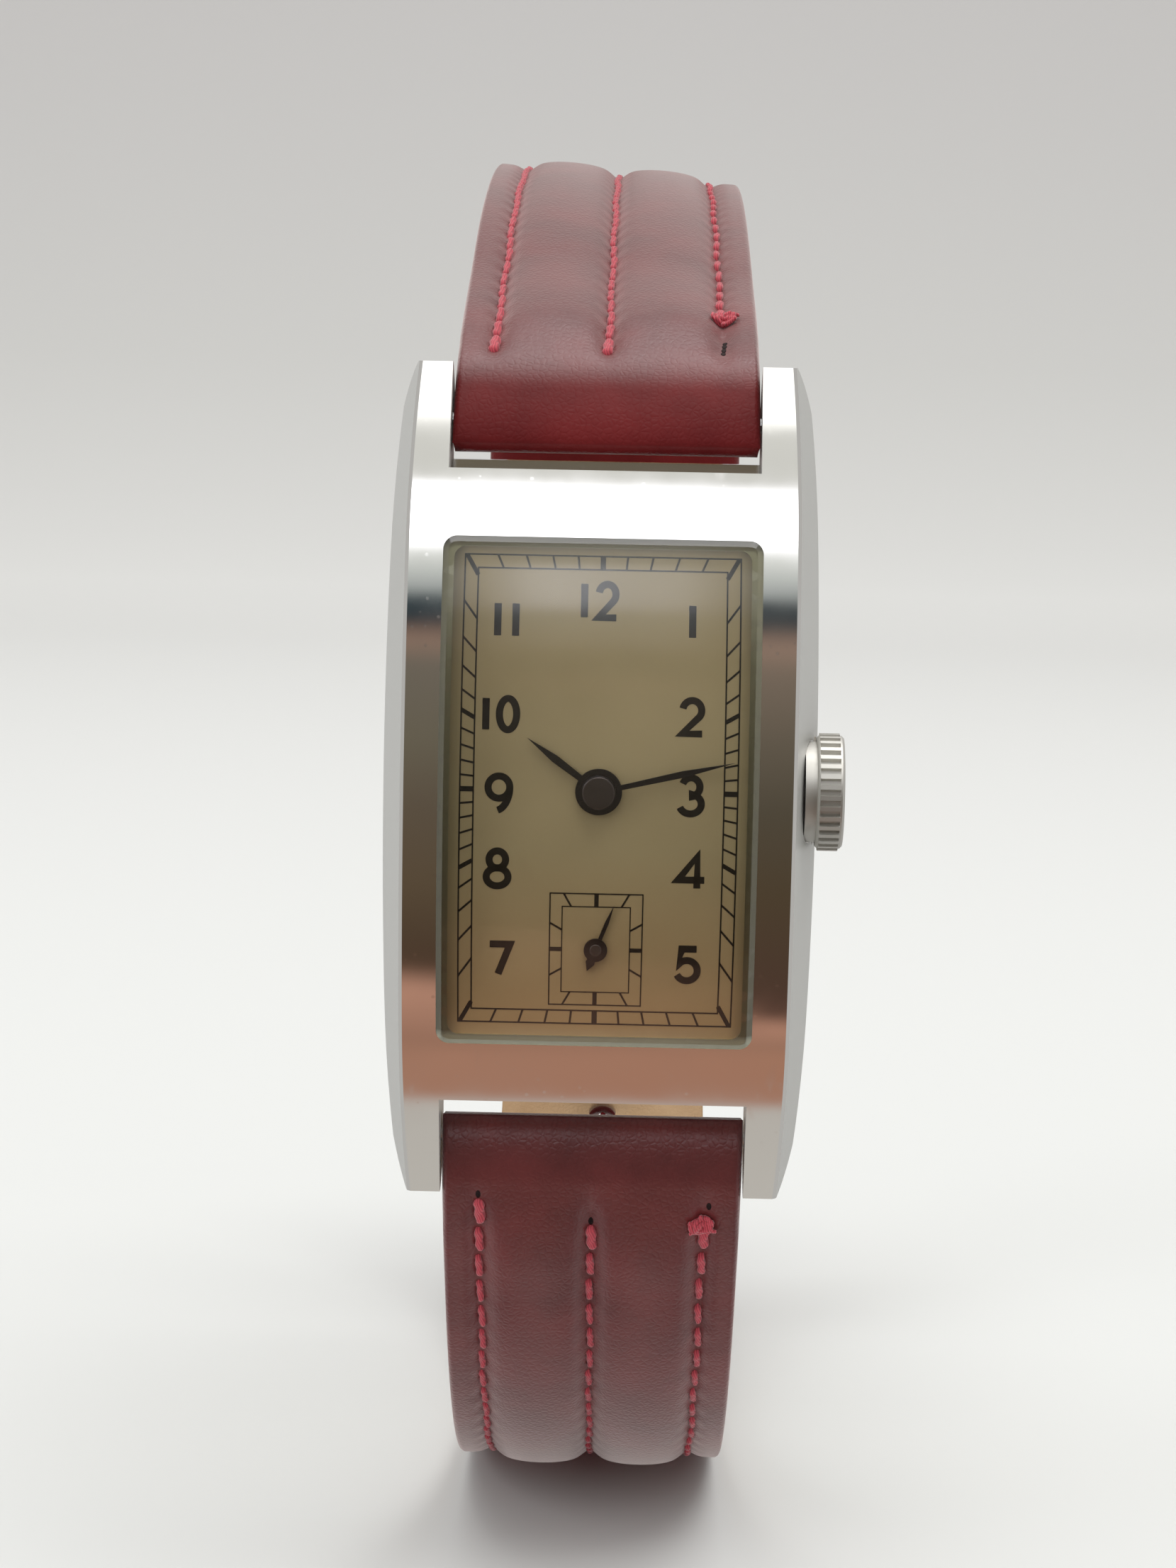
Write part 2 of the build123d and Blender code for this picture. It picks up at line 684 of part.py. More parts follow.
def main_plate():
    """Plate that carries everything, with posts for the motion work."""
    wide, long = CAVITY_WIDTH - CASING_GAP * 2, CAVITY_LENGTH - CASING_GAP * 2
    plate = slab(wide, long, SEAT_Z, DIAL_SEAT_Z, CAVITY_CORNER) - wheel_pockets()
    plate -= strip(PALLET, PALLET_FOOT, PALLET_COCK_HALF, SEAT_Z, PALLET_COCK_HIGH)
    plate -= disc(PALLET_FOOT_R, SEAT_Z, PALLET_COCK_HIGH, PALLET_FOOT)
    plate -= disc(pitch_r(HOUR_TEETH, MOTION_MODULE), MOTION_Z, OVERRUN)
    plate -= disc(pitch_r(MINUTE_TEETH, MOTION_MODULE), MOTION_Z, OVERRUN, MINUTE_WHEEL)
    plate -= disc(pitch_r(SETTING_TEETH, MOTION_MODULE), SETTING_POCKET_Z, OVERRUN, SETTING_WHEEL)
    plate -= block(KEYLESS_START_X, KEYLESS_END_X, -KEYLESS_HALF, KEYLESS_HALF, MOTION_Z, OVERRUN)
    for post in (MINUTE_WHEEL, LEVER_PIVOT, YOKE_PIVOT):
        plate += disc(POST_R, MOTION_Z, DIAL_SEAT_Z - RUN_GAP, post)
    plate += disc(POST_R, SETTING_POCKET_Z, DIAL_SEAT_Z - RUN_GAP, SETTING_WHEEL)
    plate -= stem_room()
    plate -= disc(CENTRE_ARBOR_R + ARBOR_CLEARANCE, 0, OVERRUN)
    plate -= disc(ARBOR_R + ARBOR_CLEARANCE, 0, OVERRUN, FOURTH)
    plate -= disc(BARREL_ARBOR_R / 2 + PIVOT_GAP, 0, DEEP_Z + PIVOT_LENGTH + PIVOT_GAP, BARREL)
    for pivot in (THIRD, ESCAPE, BALANCE, PALLET):
        plate -= disc(PIVOT_R + PIVOT_GAP, 0, DEEP_Z + PIVOT_LENGTH + PIVOT_GAP, pivot)
    barrel, train, cock = screw_points()
    for point in barrel + train + cock + [PALLET_FOOT]:
        plate -= disc(SCREW_R, 0, SCREW_END_Z, point)
    return plate


def stem_room():
    """Bore for the stem, rooms for the clutch and pinion, slots for the two pins."""
    room = rod(STEM_BORE, STEM_START_X - RUN_GAP, OVERRUN)
    room += rod(CLUTCH_R + RUN_GAP * 2, CLUTCH_START_X - SETTING_TRAVEL, CLUTCH_END_X + RUN_GAP)
    tip = (WINDING_TEETH / 2 + 1) * WINDING_MODULE
    room += rod(tip + RUN_GAP, CLUTCH_END_X, PINION_END_X + RUN_GAP)
    pin = LEVER_PIN_R + RUN_GAP
    room += block(GROOVE_X - GROOVE_HALF, KEYLESS_END_X, -pin, pin, STEM_Z, MOTION_Z)
    start = CLUTCH_GROOVE_X - SETTING_TRAVEL - pin
    room += block(start, CLUTCH_GROOVE_X + pin, -pin, pin, STEM_Z, MOTION_Z)
    return room


def jewel_hole(at):
    """Seat for a jewel on the inner side of a bridge, with a small oil hole."""
    seat = disc(JEWEL_R, SEAT_Z - JEWEL_THICK, SEAT_Z, at)
    return seat + disc(OIL_R, 0, SEAT_Z, at)


def screw_seats(points):
    """Holes and head recesses for bridge screws."""
    cut = disc(SCREW_R, 0, SEAT_Z, points[0]) + disc(SCREW_HEAD_R, 0, BRIDGE_Z + SCREW_HEAD, points[0])
    for point in points[1:]:
        cut += disc(SCREW_R, 0, SEAT_Z, point) + disc(SCREW_HEAD_R, 0, BRIDGE_Z + SCREW_HEAD, point)
    return cut


def barrel_bridge():
    """Bridge over the barrel, recessed for the ratchet wheel and the crown wheel."""
    whole = slab(INNER_WIDTH, INNER_LENGTH, BRIDGE_Z, SEAT_Z, CAVITY_CORNER / 2)
    upper = block(-OVERRUN, OVERRUN, SPLIT_Y, OVERRUN, 0, OVERRUN)
    bridge = (whole & upper) + disc(CROWN_DISC_R, BRIDGE_Z, SEAT_Z, CROWN_WHEEL)
    bridge &= whole
    bridge -= disc(pitch_r(RATCHET_TEETH, WINDING_MODULE), 0, RECESS_Z, BARREL)
    bridge -= disc(CROWN_DISC_R - RUN_GAP, 0, RECESS_Z, CROWN_WHEEL)
    bridge += disc(POST_R, BRIDGE_Z, SEAT_Z, CROWN_WHEEL)
    bridge -= strip(CLICK_PIVOT, CLICK_TIP, CLICK_HALF * 3, 0, RECESS_Z)
    bridge -= strip(CLICK_SPRING_START, CLICK_SPRING_END, CLICK_HALF * 2, 0, RECESS_Z)
    bridge += disc(CLICK_POST_R, BRIDGE_Z, SEAT_Z, CLICK_PIVOT)
    bridge -= disc(BARREL_ARBOR_R + POST_GAP, 0, OVERRUN, BARREL)
    bridge -= stem_room()
    barrel, train, cock = screw_points()
    return bridge - screw_seats(barrel)


def train_bridge():
    """Bridge for the centre, third, fourth and escape wheels."""
    whole = slab(INNER_WIDTH, INNER_LENGTH, BRIDGE_Z, SEAT_Z, CAVITY_CORNER / 2)
    edge = SPLIT_Y - SPLIT_GAP
    bridge = whole & block(-OVERRUN, TRAIN_BRIDGE_X, -OVERRUN, edge, 0, OVERRUN)
    bridge += strip(FOURTH, ESCAPE, JEWEL_R * 2, BRIDGE_Z, SEAT_Z)
    bridge -= disc(CROWN_DISC_R + SPLIT_GAP, 0, OVERRUN, CROWN_WHEEL)
    bridge -= cock_outline(COCK_HALF + SPLIT_GAP)
    for pivot in (THIRD, FOURTH, ESCAPE):
        bridge -= jewel_hole(pivot)
    bridge -= disc(PIVOT_R * 2 + PIVOT_GAP, 0, OVERRUN)
    barrel, train, cock = screw_points()
    return bridge - screw_seats(train)


def cock_outline(half):
    """Outline of the balance cock as a round-ended arm."""
    return strip(BALANCE, COCK_FOOT, half, BRIDGE_Z, SEAT_Z)


def balance_cock():
    """Cock over the balance, with a boss that carries the regulator and a hairspring stud."""
    cock = cock_outline(COCK_HALF) + disc(BOSS_R, BRIDGE_Z - BOSS_HEIGHT, BRIDGE_Z, BALANCE)
    cock -= jewel_hole(BALANCE)
    stud = around(BALANCE, HAIRSPRING_OUT, 0)
    cock += disc(HAIRSPRING_STRIP * 2, SEAT_Z, HAIRSPRING_HIGH, stud)
    return cock - screw_seats([COCK_FOOT])


def pallet_cock():
    """Small cock over the pallet fork."""
    cock = strip(PALLET, PALLET_FOOT, PALLET_COCK_HALF, PALLET_COCK_LOW, PALLET_COCK_HIGH)
    cock += disc(PALLET_FOOT_R, PALLET_COCK_LOW, PALLET_COCK_HIGH, PALLET_FOOT)
    cock -= disc(PIVOT_R + PIVOT_GAP, 0, OVERRUN, PALLET)
    return cock - disc(SCREW_R, 0, OVERRUN, PALLET_FOOT)


def screw(point, head_low):
    """A slotted screw seated under its head."""
    body = disc(SCREW_HEAD_R - POST_GAP, head_low, head_low + SCREW_HEAD, point)
    body += disc(SCREW_R, head_low, SCREW_END_Z, point)
    slot = block(-OVERRUN, OVERRUN, -SCREW_SLOT / 2, SCREW_SLOT / 2, 0, head_low + SCREW_SLOT)
    return body - Pos(point[0], point[1], 0) * Rot(0, 0, 15) * slot


def bridge_screws():
    """All screws of the movement as one group."""
    barrel, train, cock = screw_points()
    screws = [screw(point, BRIDGE_Z) for point in barrel + train + cock]
    short = disc(SCREW_R, PALLET_COCK_LOW, SCREW_END_Z, PALLET_FOOT)
    short += disc(SCREW_R + POST_GAP * 3, PALLET_COCK_LOW - POST_GAP, PALLET_COCK_LOW, PALLET_FOOT)
    return Compound(screws + [short])


def jewels():
    """Pierced jewels of the bridge side."""
    stones = []
    for pivot in (THIRD, FOURTH, ESCAPE, BALANCE):
        stone = disc(JEWEL_R, SEAT_Z - JEWEL_THICK, SEAT_Z, pivot)
        stones.append(stone - disc(PIVOT_R + PIVOT_GAP, 0, OVERRUN, pivot))
    return Compound(stones)


def arbor(at, low, high):
    """A shaft with a thinner pivot at each end."""
    shaft = disc(ARBOR_R, low, high, at)
    return shaft + disc(PIVOT_R, low - PIVOT_LENGTH + RUN_GAP, high + PIVOT_LENGTH - RUN_GAP, at)


def crossed(wheel, rim_r, low, high, at, hub_r):
    """Cuts four windows between the hub and the rim of a wheel."""
    ring = disc(rim_r, low, high, at) - disc(hub_r, low, high, at)
    arms = Pos(at[0], at[1], (low + high) / 2) * Box(rim_r * 2, SPOKE, high - low)
    arms += Pos(at[0], at[1], (low + high) / 2) * Box(SPOKE, rim_r * 2, high - low)
    return wheel - (ring - arms)


def train_turns():
    """Turn angles that put the whole train in mesh."""
    third_pinion = mesh_turn(CENTRE, THIRD, CENTRE_TEETH, 0, THIRD_PINION_TEETH)
    fourth_pinion = mesh_turn(THIRD, FOURTH, THIRD_TEETH, 0, FOURTH_PINION_TEETH)
    escape_pinion = mesh_turn(FOURTH, ESCAPE, FOURTH_TEETH, 0, ESCAPE_PINION_TEETH)
    centre_pinion = mesh_turn(BARREL, CENTRE, BARREL_TEETH, 0, CENTRE_PINION_TEETH)
    return third_pinion, fourth_pinion, escape_pinion, centre_pinion


def centre_wheel():
    """Centre wheel and pinion on the arbor that carries the minute hand."""
    high = CENTRE_WHEEL_LOW + WHEEL_THICK
    wheel = toothed(CENTRE_TEETH, CENTRE_MODULE, CENTRE_WHEEL_LOW, high)
    rim = CENTRE_TEETH * CENTRE_MODULE / 2 - SPOKE
    wheel = crossed(wheel, rim, CENTRE_WHEEL_LOW, high, CENTRE, SPOKE * 2)
    wheel += disc(CENTRE_ARBOR_R, SEAT_Z + RUN_GAP, MINUTE_HAND_LOW)
    wheel += disc(PIVOT_R * 2, BRIDGE_Z, SEAT_Z + RUN_GAP)
    low = DRUM_HIGH - PINION_THICK - RUN_GAP
    return wheel + toothed(CENTRE_PINION_TEETH, BARREL_MODULE, low, DRUM_HIGH, CENTRE, train_turns()[3])


def third_wheel():
    """Third wheel with the pinion that the centre wheel drives."""
    high = THIRD_LOW + WHEEL_THICK
    wheel = toothed(THIRD_TEETH, THIRD_MODULE, THIRD_LOW, high, THIRD)
    rim = THIRD_TEETH * THIRD_MODULE / 2 - SPOKE
    wheel = crossed(wheel, rim, THIRD_LOW, high, THIRD, SPOKE * 2)
    wheel += arbor(THIRD, SEAT_Z + RUN_GAP, DEEP_Z - RUN_GAP)
    low = SEAT_Z + RUN_GAP
    turn = train_turns()[0]
    return wheel + toothed(THIRD_PINION_TEETH, CENTRE_MODULE, low, low + PINION_THICK, THIRD, turn)


def fourth_wheel():
    """Fourth wheel on the arbor that carries the seconds hand."""
    high = FOURTH_LOW + WHEEL_THICK
    wheel = toothed(FOURTH_TEETH, FOURTH_MODULE, FOURTH_LOW, high, FOURTH)
    rim = FOURTH_TEETH * FOURTH_MODULE / 2 - SPOKE
    wheel = crossed(wheel, rim, FOURTH_LOW, high, FOURTH, SPOKE * 2)
    wheel += arbor(FOURTH, SEAT_Z + RUN_GAP, DEEP_Z)
    wheel += disc(ARBOR_R, SEAT_Z + RUN_GAP, DIAL_SEAT_Z, FOURTH)
    wheel += disc(PIVOT_R, DIAL_SEAT_Z, SECONDS_HAND_LOW + SECONDS_HAND_THICK, FOURTH)
    low = THIRD_LOW - RUN_GAP
    return wheel + toothed(FOURTH_PINION_TEETH, THIRD_MODULE, low, DEEP_Z - RUN_GAP, FOURTH, train_turns()[1])


def escape_wheel():
    """Escape wheel with fifteen raked teeth and its pinion."""
    points = []
    step = 360 / ESCAPE_TEETH
    for tooth in range(ESCAPE_TEETH):
        points.append(around(CENTRE, ESCAPE_ROOT_R, tooth * step - step / 4))
        points.append(around(CENTRE, ESCAPE_TIP_R, tooth * step))
        points.append(around(CENTRE, ESCAPE_ROOT_R, tooth * step))
    high = ESCAPE_LOW + WHEEL_THICK
    wheel = Pos(ESCAPE[0], ESCAPE[1], ESCAPE_LOW) * extrude(Polygon(*points, align=None), amount=WHEEL_THICK)
    wheel += arbor(ESCAPE, SEAT_Z + RUN_GAP, DEEP_Z - RUN_GAP)
    low = FOURTH_LOW - RUN_GAP
    pinion = toothed(ESCAPE_PINION_TEETH, FOURTH_MODULE, low, high - WHEEL_THICK, ESCAPE, train_turns()[2])
    return wheel + pinion


def pallet_fork():
    """Lever with its two pallet arms, ending short of the roller pin."""
    high = ESCAPE_LOW + WHEEL_THICK
    turn = bearing(ESCAPE, BALANCE)
    tip = around(BALANCE, FORK_END_GAP, turn + 180)
    fork = strip(PALLET, tip, FORK_HALF, ESCAPE_LOW, high)
    ends = [around(PALLET, FORK_SPAN, turn + side) for side in (90, -90)]
    fork += strip(ends[0], ends[1], FORK_ARM_HALF, ESCAPE_LOW, high)
    for end in ends:
        stone = around(end, STONE_LENGTH, bearing(end, ESCAPE))
        fork += strip(end, stone, FORK_HALF, ESCAPE_LOW, high)
    fork += disc(PIVOT_R, PALLET_COCK_LOW, DEEP_Z + PIVOT_LENGTH - RUN_GAP, PALLET)
    return fork


def balance_wheel():
    """Balance rim with two arms."""
    rim = disc(BALANCE_R, BALANCE_LOW, BALANCE_HIGH, BALANCE)
    rim -= disc(BALANCE_R - BALANCE_RIM, BALANCE_LOW, BALANCE_HIGH, BALANCE)
    arm = Pos(BALANCE[0], BALANCE[1], (BALANCE_LOW + BALANCE_HIGH) / 2)
    rim += arm * Box((BALANCE_R - BALANCE_RIM / 2) * 2, SPOKE, BALANCE_HIGH - BALANCE_LOW)
    return rim - disc(ARBOR_R, BALANCE_LOW, BALANCE_HIGH, BALANCE)


def balance_staff():
    """Staff with the roller, its pin and the hairspring collet."""
    staff = arbor(BALANCE, SEAT_Z + RUN_GAP, DEEP_Z - RUN_GAP)
    staff += disc(ROLLER_R, ROLLER_LOW, ROLLER_HIGH, BALANCE)
    toward = bearing(BALANCE, ESCAPE)
    staff += disc(PIN_R, ROLLER_LOW, ESCAPE_LOW + WHEEL_THICK, around(BALANCE, PIN_RADIUS, toward))
    collet = HAIRSPRING_IN - HAIRSPRING_STRIP - POST_GAP
    return staff + disc(collet, HAIRSPRING_LOW, HAIRSPRING_HIGH, BALANCE)


def hairspring():
    """Flat hairspring, held by the stud at its outer end."""
    return spiral(HAIRSPRING_IN, HAIRSPRING_OUT - HAIRSPRING_STRIP * 2, HAIRSPRING_TURNS, HAIRSPRING_STRIP,
                  HAIRSPRING_LOW, HAIRSPRING_HIGH, BALANCE, 12)


def regulator():
    """Index lever that turns on the cock's boss."""
    high = BRIDGE_Z - SLIM_GAP
    low = high - REGULATOR_THICK
    away = bearing(COCK_FOOT, BALANCE)
    lever = disc(REGULATOR_R, low, high, BALANCE)
    lever += strip(BALANCE, around(BALANCE, REGULATOR_LENGTH, away), REGULATOR_HALF, low, high)
    return lever - disc(BOSS_R + POST_GAP, 0, OVERRUN, BALANCE)


def barrel_drum():
    """Toothed drum that holds the mainspring."""
    drum = disc(DRUM_R, DRUM_LOW, DRUM_HIGH, BARREL)
    low = DRUM_HIGH - PINION_THICK
    drum += toothed(BARREL_TEETH, BARREL_MODULE, low, DRUM_HIGH - RUN_GAP, BARREL)
    drum -= disc(DRUM_R - DRUM_WALL, 0, DRUM_HIGH - DRUM_FLOOR, BARREL)
    return drum - disc(BARREL_ARBOR_R + POST_GAP, 0, OVERRUN, BARREL)


def barrel_cover():
    """Cover snapped into the drum."""
    cover = disc(DRUM_R - DRUM_WALL, DRUM_LOW, DRUM_LOW + COVER_THICK, BARREL)
    return cover - disc(BARREL_ARBOR_R + POST_GAP, 0, OVERRUN, BARREL)


def mainspring():
    """Mainspring partly wound, its outer coil on the drum wall."""
    low, high = DRUM_LOW + COVER_THICK + RUN_GAP, DRUM_HIGH - DRUM_FLOOR
    return spiral(MAINSPRING_IN, DRUM_R - DRUM_WALL - MAINSPRING_STRIP / 2, MAINSPRING_TURNS,
                  MAINSPRING_STRIP, low, high, BARREL)


def barrel_arbor():
    """Arbor that the ratchet wheel turns to wind the mainspring."""
    shaft = disc(BARREL_ARBOR_R, TOP_WHEEL_LOW, DEEP_Z - RUN_GAP, BARREL)
    shaft += disc(BARREL_ARBOR_R / 2, DEEP_Z - RUN_GAP * 2, DEEP_Z + PIVOT_LENGTH, BARREL)
    low = DRUM_LOW + COVER_THICK + RUN_GAP
    return shaft + disc(MAINSPRING_IN - MAINSPRING_STRIP, low, DRUM_HIGH - DRUM_FLOOR - RUN_GAP, BARREL)


def ratchet_wheel():
    """Ratchet wheel on the outside of the barrel bridge."""
    turn = mesh_turn(CROWN_WHEEL, BARREL, CROWN_WHEEL_TEETH, 0, RATCHET_TEETH)
    wheel = toothed(RATCHET_TEETH, WINDING_MODULE, TOP_WHEEL_LOW, TOP_WHEEL_HIGH, BARREL, turn)
    return wheel - disc(BARREL_ARBOR_R, 0, OVERRUN, BARREL)


def crown_wheel():
    """Crown wheel between the winding pinion and the ratchet wheel."""
    wheel = toothed(CROWN_WHEEL_TEETH, WINDING_MODULE, TOP_WHEEL_LOW, TOP_WHEEL_HIGH, CROWN_WHEEL)
    return wheel - disc(POST_R + POST_GAP, 0, OVERRUN, CROWN_WHEEL)


def click():
    """Click beside the ratchet wheel."""
    pawl = strip(CLICK_PIVOT, CLICK_TIP, CLICK_HALF, TOP_WHEEL_LOW, TOP_WHEEL_HIGH)
    pawl += disc(CLICK_HALF * 2, TOP_WHEEL_LOW, TOP_WHEEL_HIGH, CLICK_PIVOT)
    return pawl - disc(CLICK_POST_R + POST_GAP, 0, OVERRUN, CLICK_PIVOT)


def click_spring():
    """Spring behind the click, laid in the bridge recess."""
    return strip(CLICK_SPRING_START, CLICK_SPRING_END, CLICK_SPRING_HALF, TOP_WHEEL_LOW, RECESS_Z)


def along_stem(shape, x):
    """Turns a shape built on z so that its axis runs along the stem from x."""
    return Pos(x, 0, STEM_Z) * Rot(0, 90, 0) * shape


def winding_pinion():
    """Pinion on the stem that drives the crown wheel."""
    length = PINION_END_X - PINION_START_X
    pinion = along_stem(toothed(WINDING_TEETH, WINDING_MODULE, 0, length), PINION_START_X)
    return pinion - rod(STEM_BORE, 0, OVERRUN)


def sliding_clutch():
    """Clutch with a groove for the yoke and teeth at both ends."""
    start, end = CLUTCH_START_X + CLUTCH_TOOTH_LENGTH, CLUTCH_END_X - CLUTCH_TOOTH_LENGTH
    clutch = rod(CLUTCH_R, start, end)
    for x in (CLUTCH_START_X, end):
        clutch += along_stem(toothed(CLUTCH_TEETH, CLUTCH_MODULE, 0, CLUTCH_TOOTH_LENGTH), x)
    low, high = CLUTCH_GROOVE_X - GROOVE_HALF, CLUTCH_GROOVE_X + GROOVE_HALF
    clutch -= rod(CLUTCH_R * 2, low, high) - rod(CLUTCH_GROOVE_R, low, high)
    return clutch - rod(STEM_BORE, 0, OVERRUN)


def winding_stem():
    """Stem with the groove for the setting lever."""
    stem = rod(STEM_R, STEM_START_X, CROWN_BORE_END_X)
    low, high = GROOVE_X - GROOVE_HALF, GROOVE_X + GROOVE_HALF
    return stem - (rod(STEM_R * 2, low, high) - rod(GROOVE_R, low, high))


def crown():
    """Ribbed crown with a plain base, a plain bevelled rim and a skirt that reaches into the flank."""
    knurl_start, knurl_end = CROWN_START_X + CROWN_BASE, CROWN_END_X - CROWN_RIM
    inner = CROWN_R - CROWN_RIDGE_DEPTH
    body = true_rod(inner + CROWN_RIDGE_DEPTH / 2, CROWN_START_X, CROWN_END_X)
    body = chamfer(body.edges().filter_by(GeomType.CIRCLE), CROWN_RIDGE_DEPTH / 2)
    points = []
    step = 360 / CROWN_RIDGES
    for ridge in range(CROWN_RIDGES):
        middle = ridge * step
        points.append(around(CENTRE, inner, middle - step * CROWN_VALLEY_SHARE))
        points.append(around(CENTRE, CROWN_R, middle - step * CROWN_CREST_SHARE))
        points.append(around(CENTRE, CROWN_R, middle + step * CROWN_CREST_SHARE))
        points.append(around(CENTRE, inner, middle + step * CROWN_VALLEY_SHARE))
    ribs = extrude(Polygon(*points, align=None), amount=knurl_end - knurl_start)
    body -= rod(CROWN_R * 2, knurl_start, knurl_end) - rod(inner - RUN_GAP, knurl_start, knurl_end)
    body += along_stem(ribs, knurl_start)
    body -= rod(CROWN_R * 2, 0, CROWN_START_X)
    body += true_rod(CROWN_SKIRT_R, CROWN_SKIRT_X, CROWN_START_X + CROWN_BASE / 2)
    return body - rod(CROWN_BORE_R, 0, CROWN_BORE_END_X)


def crown_tube():
    """Tube in the case wall that the crown runs over."""
    tube = rod(TUBE_R, CAVITY_WIDTH / 2, TUBE_END_X)
    return tube - rod(STEM_BORE, 0, OVERRUN)


def setting_lever():
    """Lever whose pin sits in the stem groove."""
    pin_at = (GROOVE_X, 0)
    lever = strip(LEVER_PIVOT, pin_at, LEVER_HALF, LEVER_LOW, LEVER_HIGH)
    lever += disc(LEVER_HALF * 2, LEVER_LOW, LEVER_HIGH, LEVER_PIVOT)
    lever += disc(LEVER_PIN_R, LEVER_PIN_Z, LEVER_HIGH, pin_at)
    return lever - disc(POST_R + POST_GAP, 0, OVERRUN, LEVER_PIVOT)


def yoke():
    """Yoke whose pin sits in the clutch groove."""
    pin_at = (CLUTCH_GROOVE_X, 0)
    arm = strip(YOKE_PIVOT, pin_at, LEVER_HALF, LEVER_LOW, LEVER_HIGH)
    arm += disc(LEVER_HALF * 2, LEVER_LOW, LEVER_HIGH, YOKE_PIVOT)
    arm += disc(LEVER_PIN_R, YOKE_PIN_Z, LEVER_HIGH, pin_at)
    return arm - disc(POST_R + POST_GAP, 0, OVERRUN, YOKE_PIVOT)


def setting_lever_spring():
    """Spring beside the setting lever, laid in the plate recess."""
    start, end = (LEVER_SPRING_START_X, LEVER_SPRING_Y), (LEVER_SPRING_END_X, LEVER_SPRING_Y)
    return strip(start, end, LEVER_SPRING_HALF, MOTION_Z, LEVER_HIGH)


def setting_wheel():
    """Wheel between the clutch and the minute wheel."""
    turn = mesh_turn(MINUTE_WHEEL, SETTING_WHEEL, MINUTE_TEETH, minute_turn(), SETTING_TEETH)
    wheel = toothed(SETTING_TEETH, MOTION_MODULE, SETTING_LOW, SETTING_HIGH, SETTING_WHEEL, turn)
    return wheel - disc(POST_R + POST_GAP, 0, OVERRUN, SETTING_WHEEL)


def minute_turn():
    """Turn of the minute wheel in mesh with the cannon pinion."""
    return mesh_turn(CENTRE, MINUTE_WHEEL, CANNON_TEETH, 0, MINUTE_TEETH)


def minute_wheel():
    """Minute wheel with the pinion that drives the hour wheel."""
    low, high = MOTION_Z + RUN_GAP, MOTION_Z + RUN_GAP + WHEEL_THICK
    wheel = toothed(MINUTE_TEETH, MOTION_MODULE, low, high, MINUTE_WHEEL, minute_turn())
    top = high + WHEEL_THICK * 2
    turn = mesh_turn(CENTRE, MINUTE_WHEEL, HOUR_TEETH, 0, MINUTE_PINION_TEETH)
    wheel += toothed(MINUTE_PINION_TEETH, MOTION_MODULE, low, top, MINUTE_WHEEL, turn)
    return wheel - disc(POST_R + POST_GAP, 0, OVERRUN, MINUTE_WHEEL)


def cannon_pinion():
    """Cannon pinion gripping the centre arbor, with a pipe for the minute hand."""
    low = MOTION_Z + RUN_GAP
    pinion = toothed(CANNON_TEETH, MOTION_MODULE, low, low + WHEEL_THICK)
    pinion += disc(CANNON_R, low, MINUTE_HAND_LOW + MINUTE_HAND_THICK)
    return pinion - disc(CENTRE_ARBOR_R, 0, OVERRUN)


def hour_wheel():
    """Hour wheel with a pipe for the hour hand."""
    low = MOTION_Z + RUN_GAP * 2 + WHEEL_THICK
    wheel = toothed(HOUR_TEETH, MOTION_MODULE, low, low + WHEEL_THICK)
    wheel += disc(HOUR_PIPE_OUT, low, HOUR_HAND_LOW + HOUR_HAND_THICK)
    return wheel - disc(HOUR_PIPE_IN, 0, OVERRUN)


def blade(length, half, neck, hub, low, high, angle, at=CENTRE):
    """A slim hand: narrow at the hub, widest past the middle, pointed at the tip."""
    wide = length * BLADE_WIDE_SHARE
    outline = Polygon((-neck, 0), (-half, wide), (0, length), (half, wide), (neck, 0), align=None)
    shape = extrude(outline, amount=high - low, dir=(0, 0, 1))
    return Pos(at[0], at[1], low) * Rot(0, 0, -angle) * shape + true_disc(hub, low, high, at)


def hour_hand():
    """Hour hand on the hour wheel's pipe."""
    high = HOUR_HAND_LOW + HOUR_HAND_THICK
    hand = blade(
        HOUR_HAND_LENGTH, HOUR_HAND_HALF, HOUR_HAND_NECK, HOUR_HUB_R, HOUR_HAND_LOW, high, HOUR_TIME_ANGLE
    )
    return hand - disc(HOUR_PIPE_OUT, 0, OVERRUN)


def minute_hand():
    """Minute hand with a bevelled cap over the cannon pinion."""
    high = MINUTE_HAND_LOW + MINUTE_HAND_THICK
    low = MINUTE_HAND_LOW
    hand = blade(MINUTE_HAND_LENGTH, MINUTE_HAND_HALF, MINUTE_HAND_NECK, ARBOR_R, low, high, MINUTE_TIME_ANGLE)
    cap = true_disc(MINUTE_HUB_R, MINUTE_HAND_LOW, MINUTE_HUB_HIGH)
    cap = chamfer(cap.edges().group_by(Axis.Z)[-1], MINUTE_HUB_BEVEL)
    return hand + cap - disc(CANNON_R, 0, high)


def seconds_hand():
    """Small seconds hand with a lozenge tail."""
    high = SECONDS_HAND_LOW + SECONDS_HAND_THICK
    hand = blade(
        SECONDS_HAND_LENGTH, SECONDS_HAND_HALF, SECONDS_HAND_HALF, PIVOT_R * 2, SECONDS_HAND_LOW, high,
        SECONDS_TIME_ANGLE, FOURTH
    )
    hand += blade(
        SECONDS_TAIL_LENGTH, SECONDS_TAIL_HALF, SECONDS_HAND_HALF, PIVOT_R * 2, SECONDS_HAND_LOW, high,
        SECONDS_TIME_ANGLE + 180, FOURTH
    )
    hand += true_disc(SECONDS_HUB_R, SECONDS_HAND_LOW, SECONDS_HUB_HIGH, FOURTH)
    return hand - disc(PIVOT_R, 0, high, FOURTH)


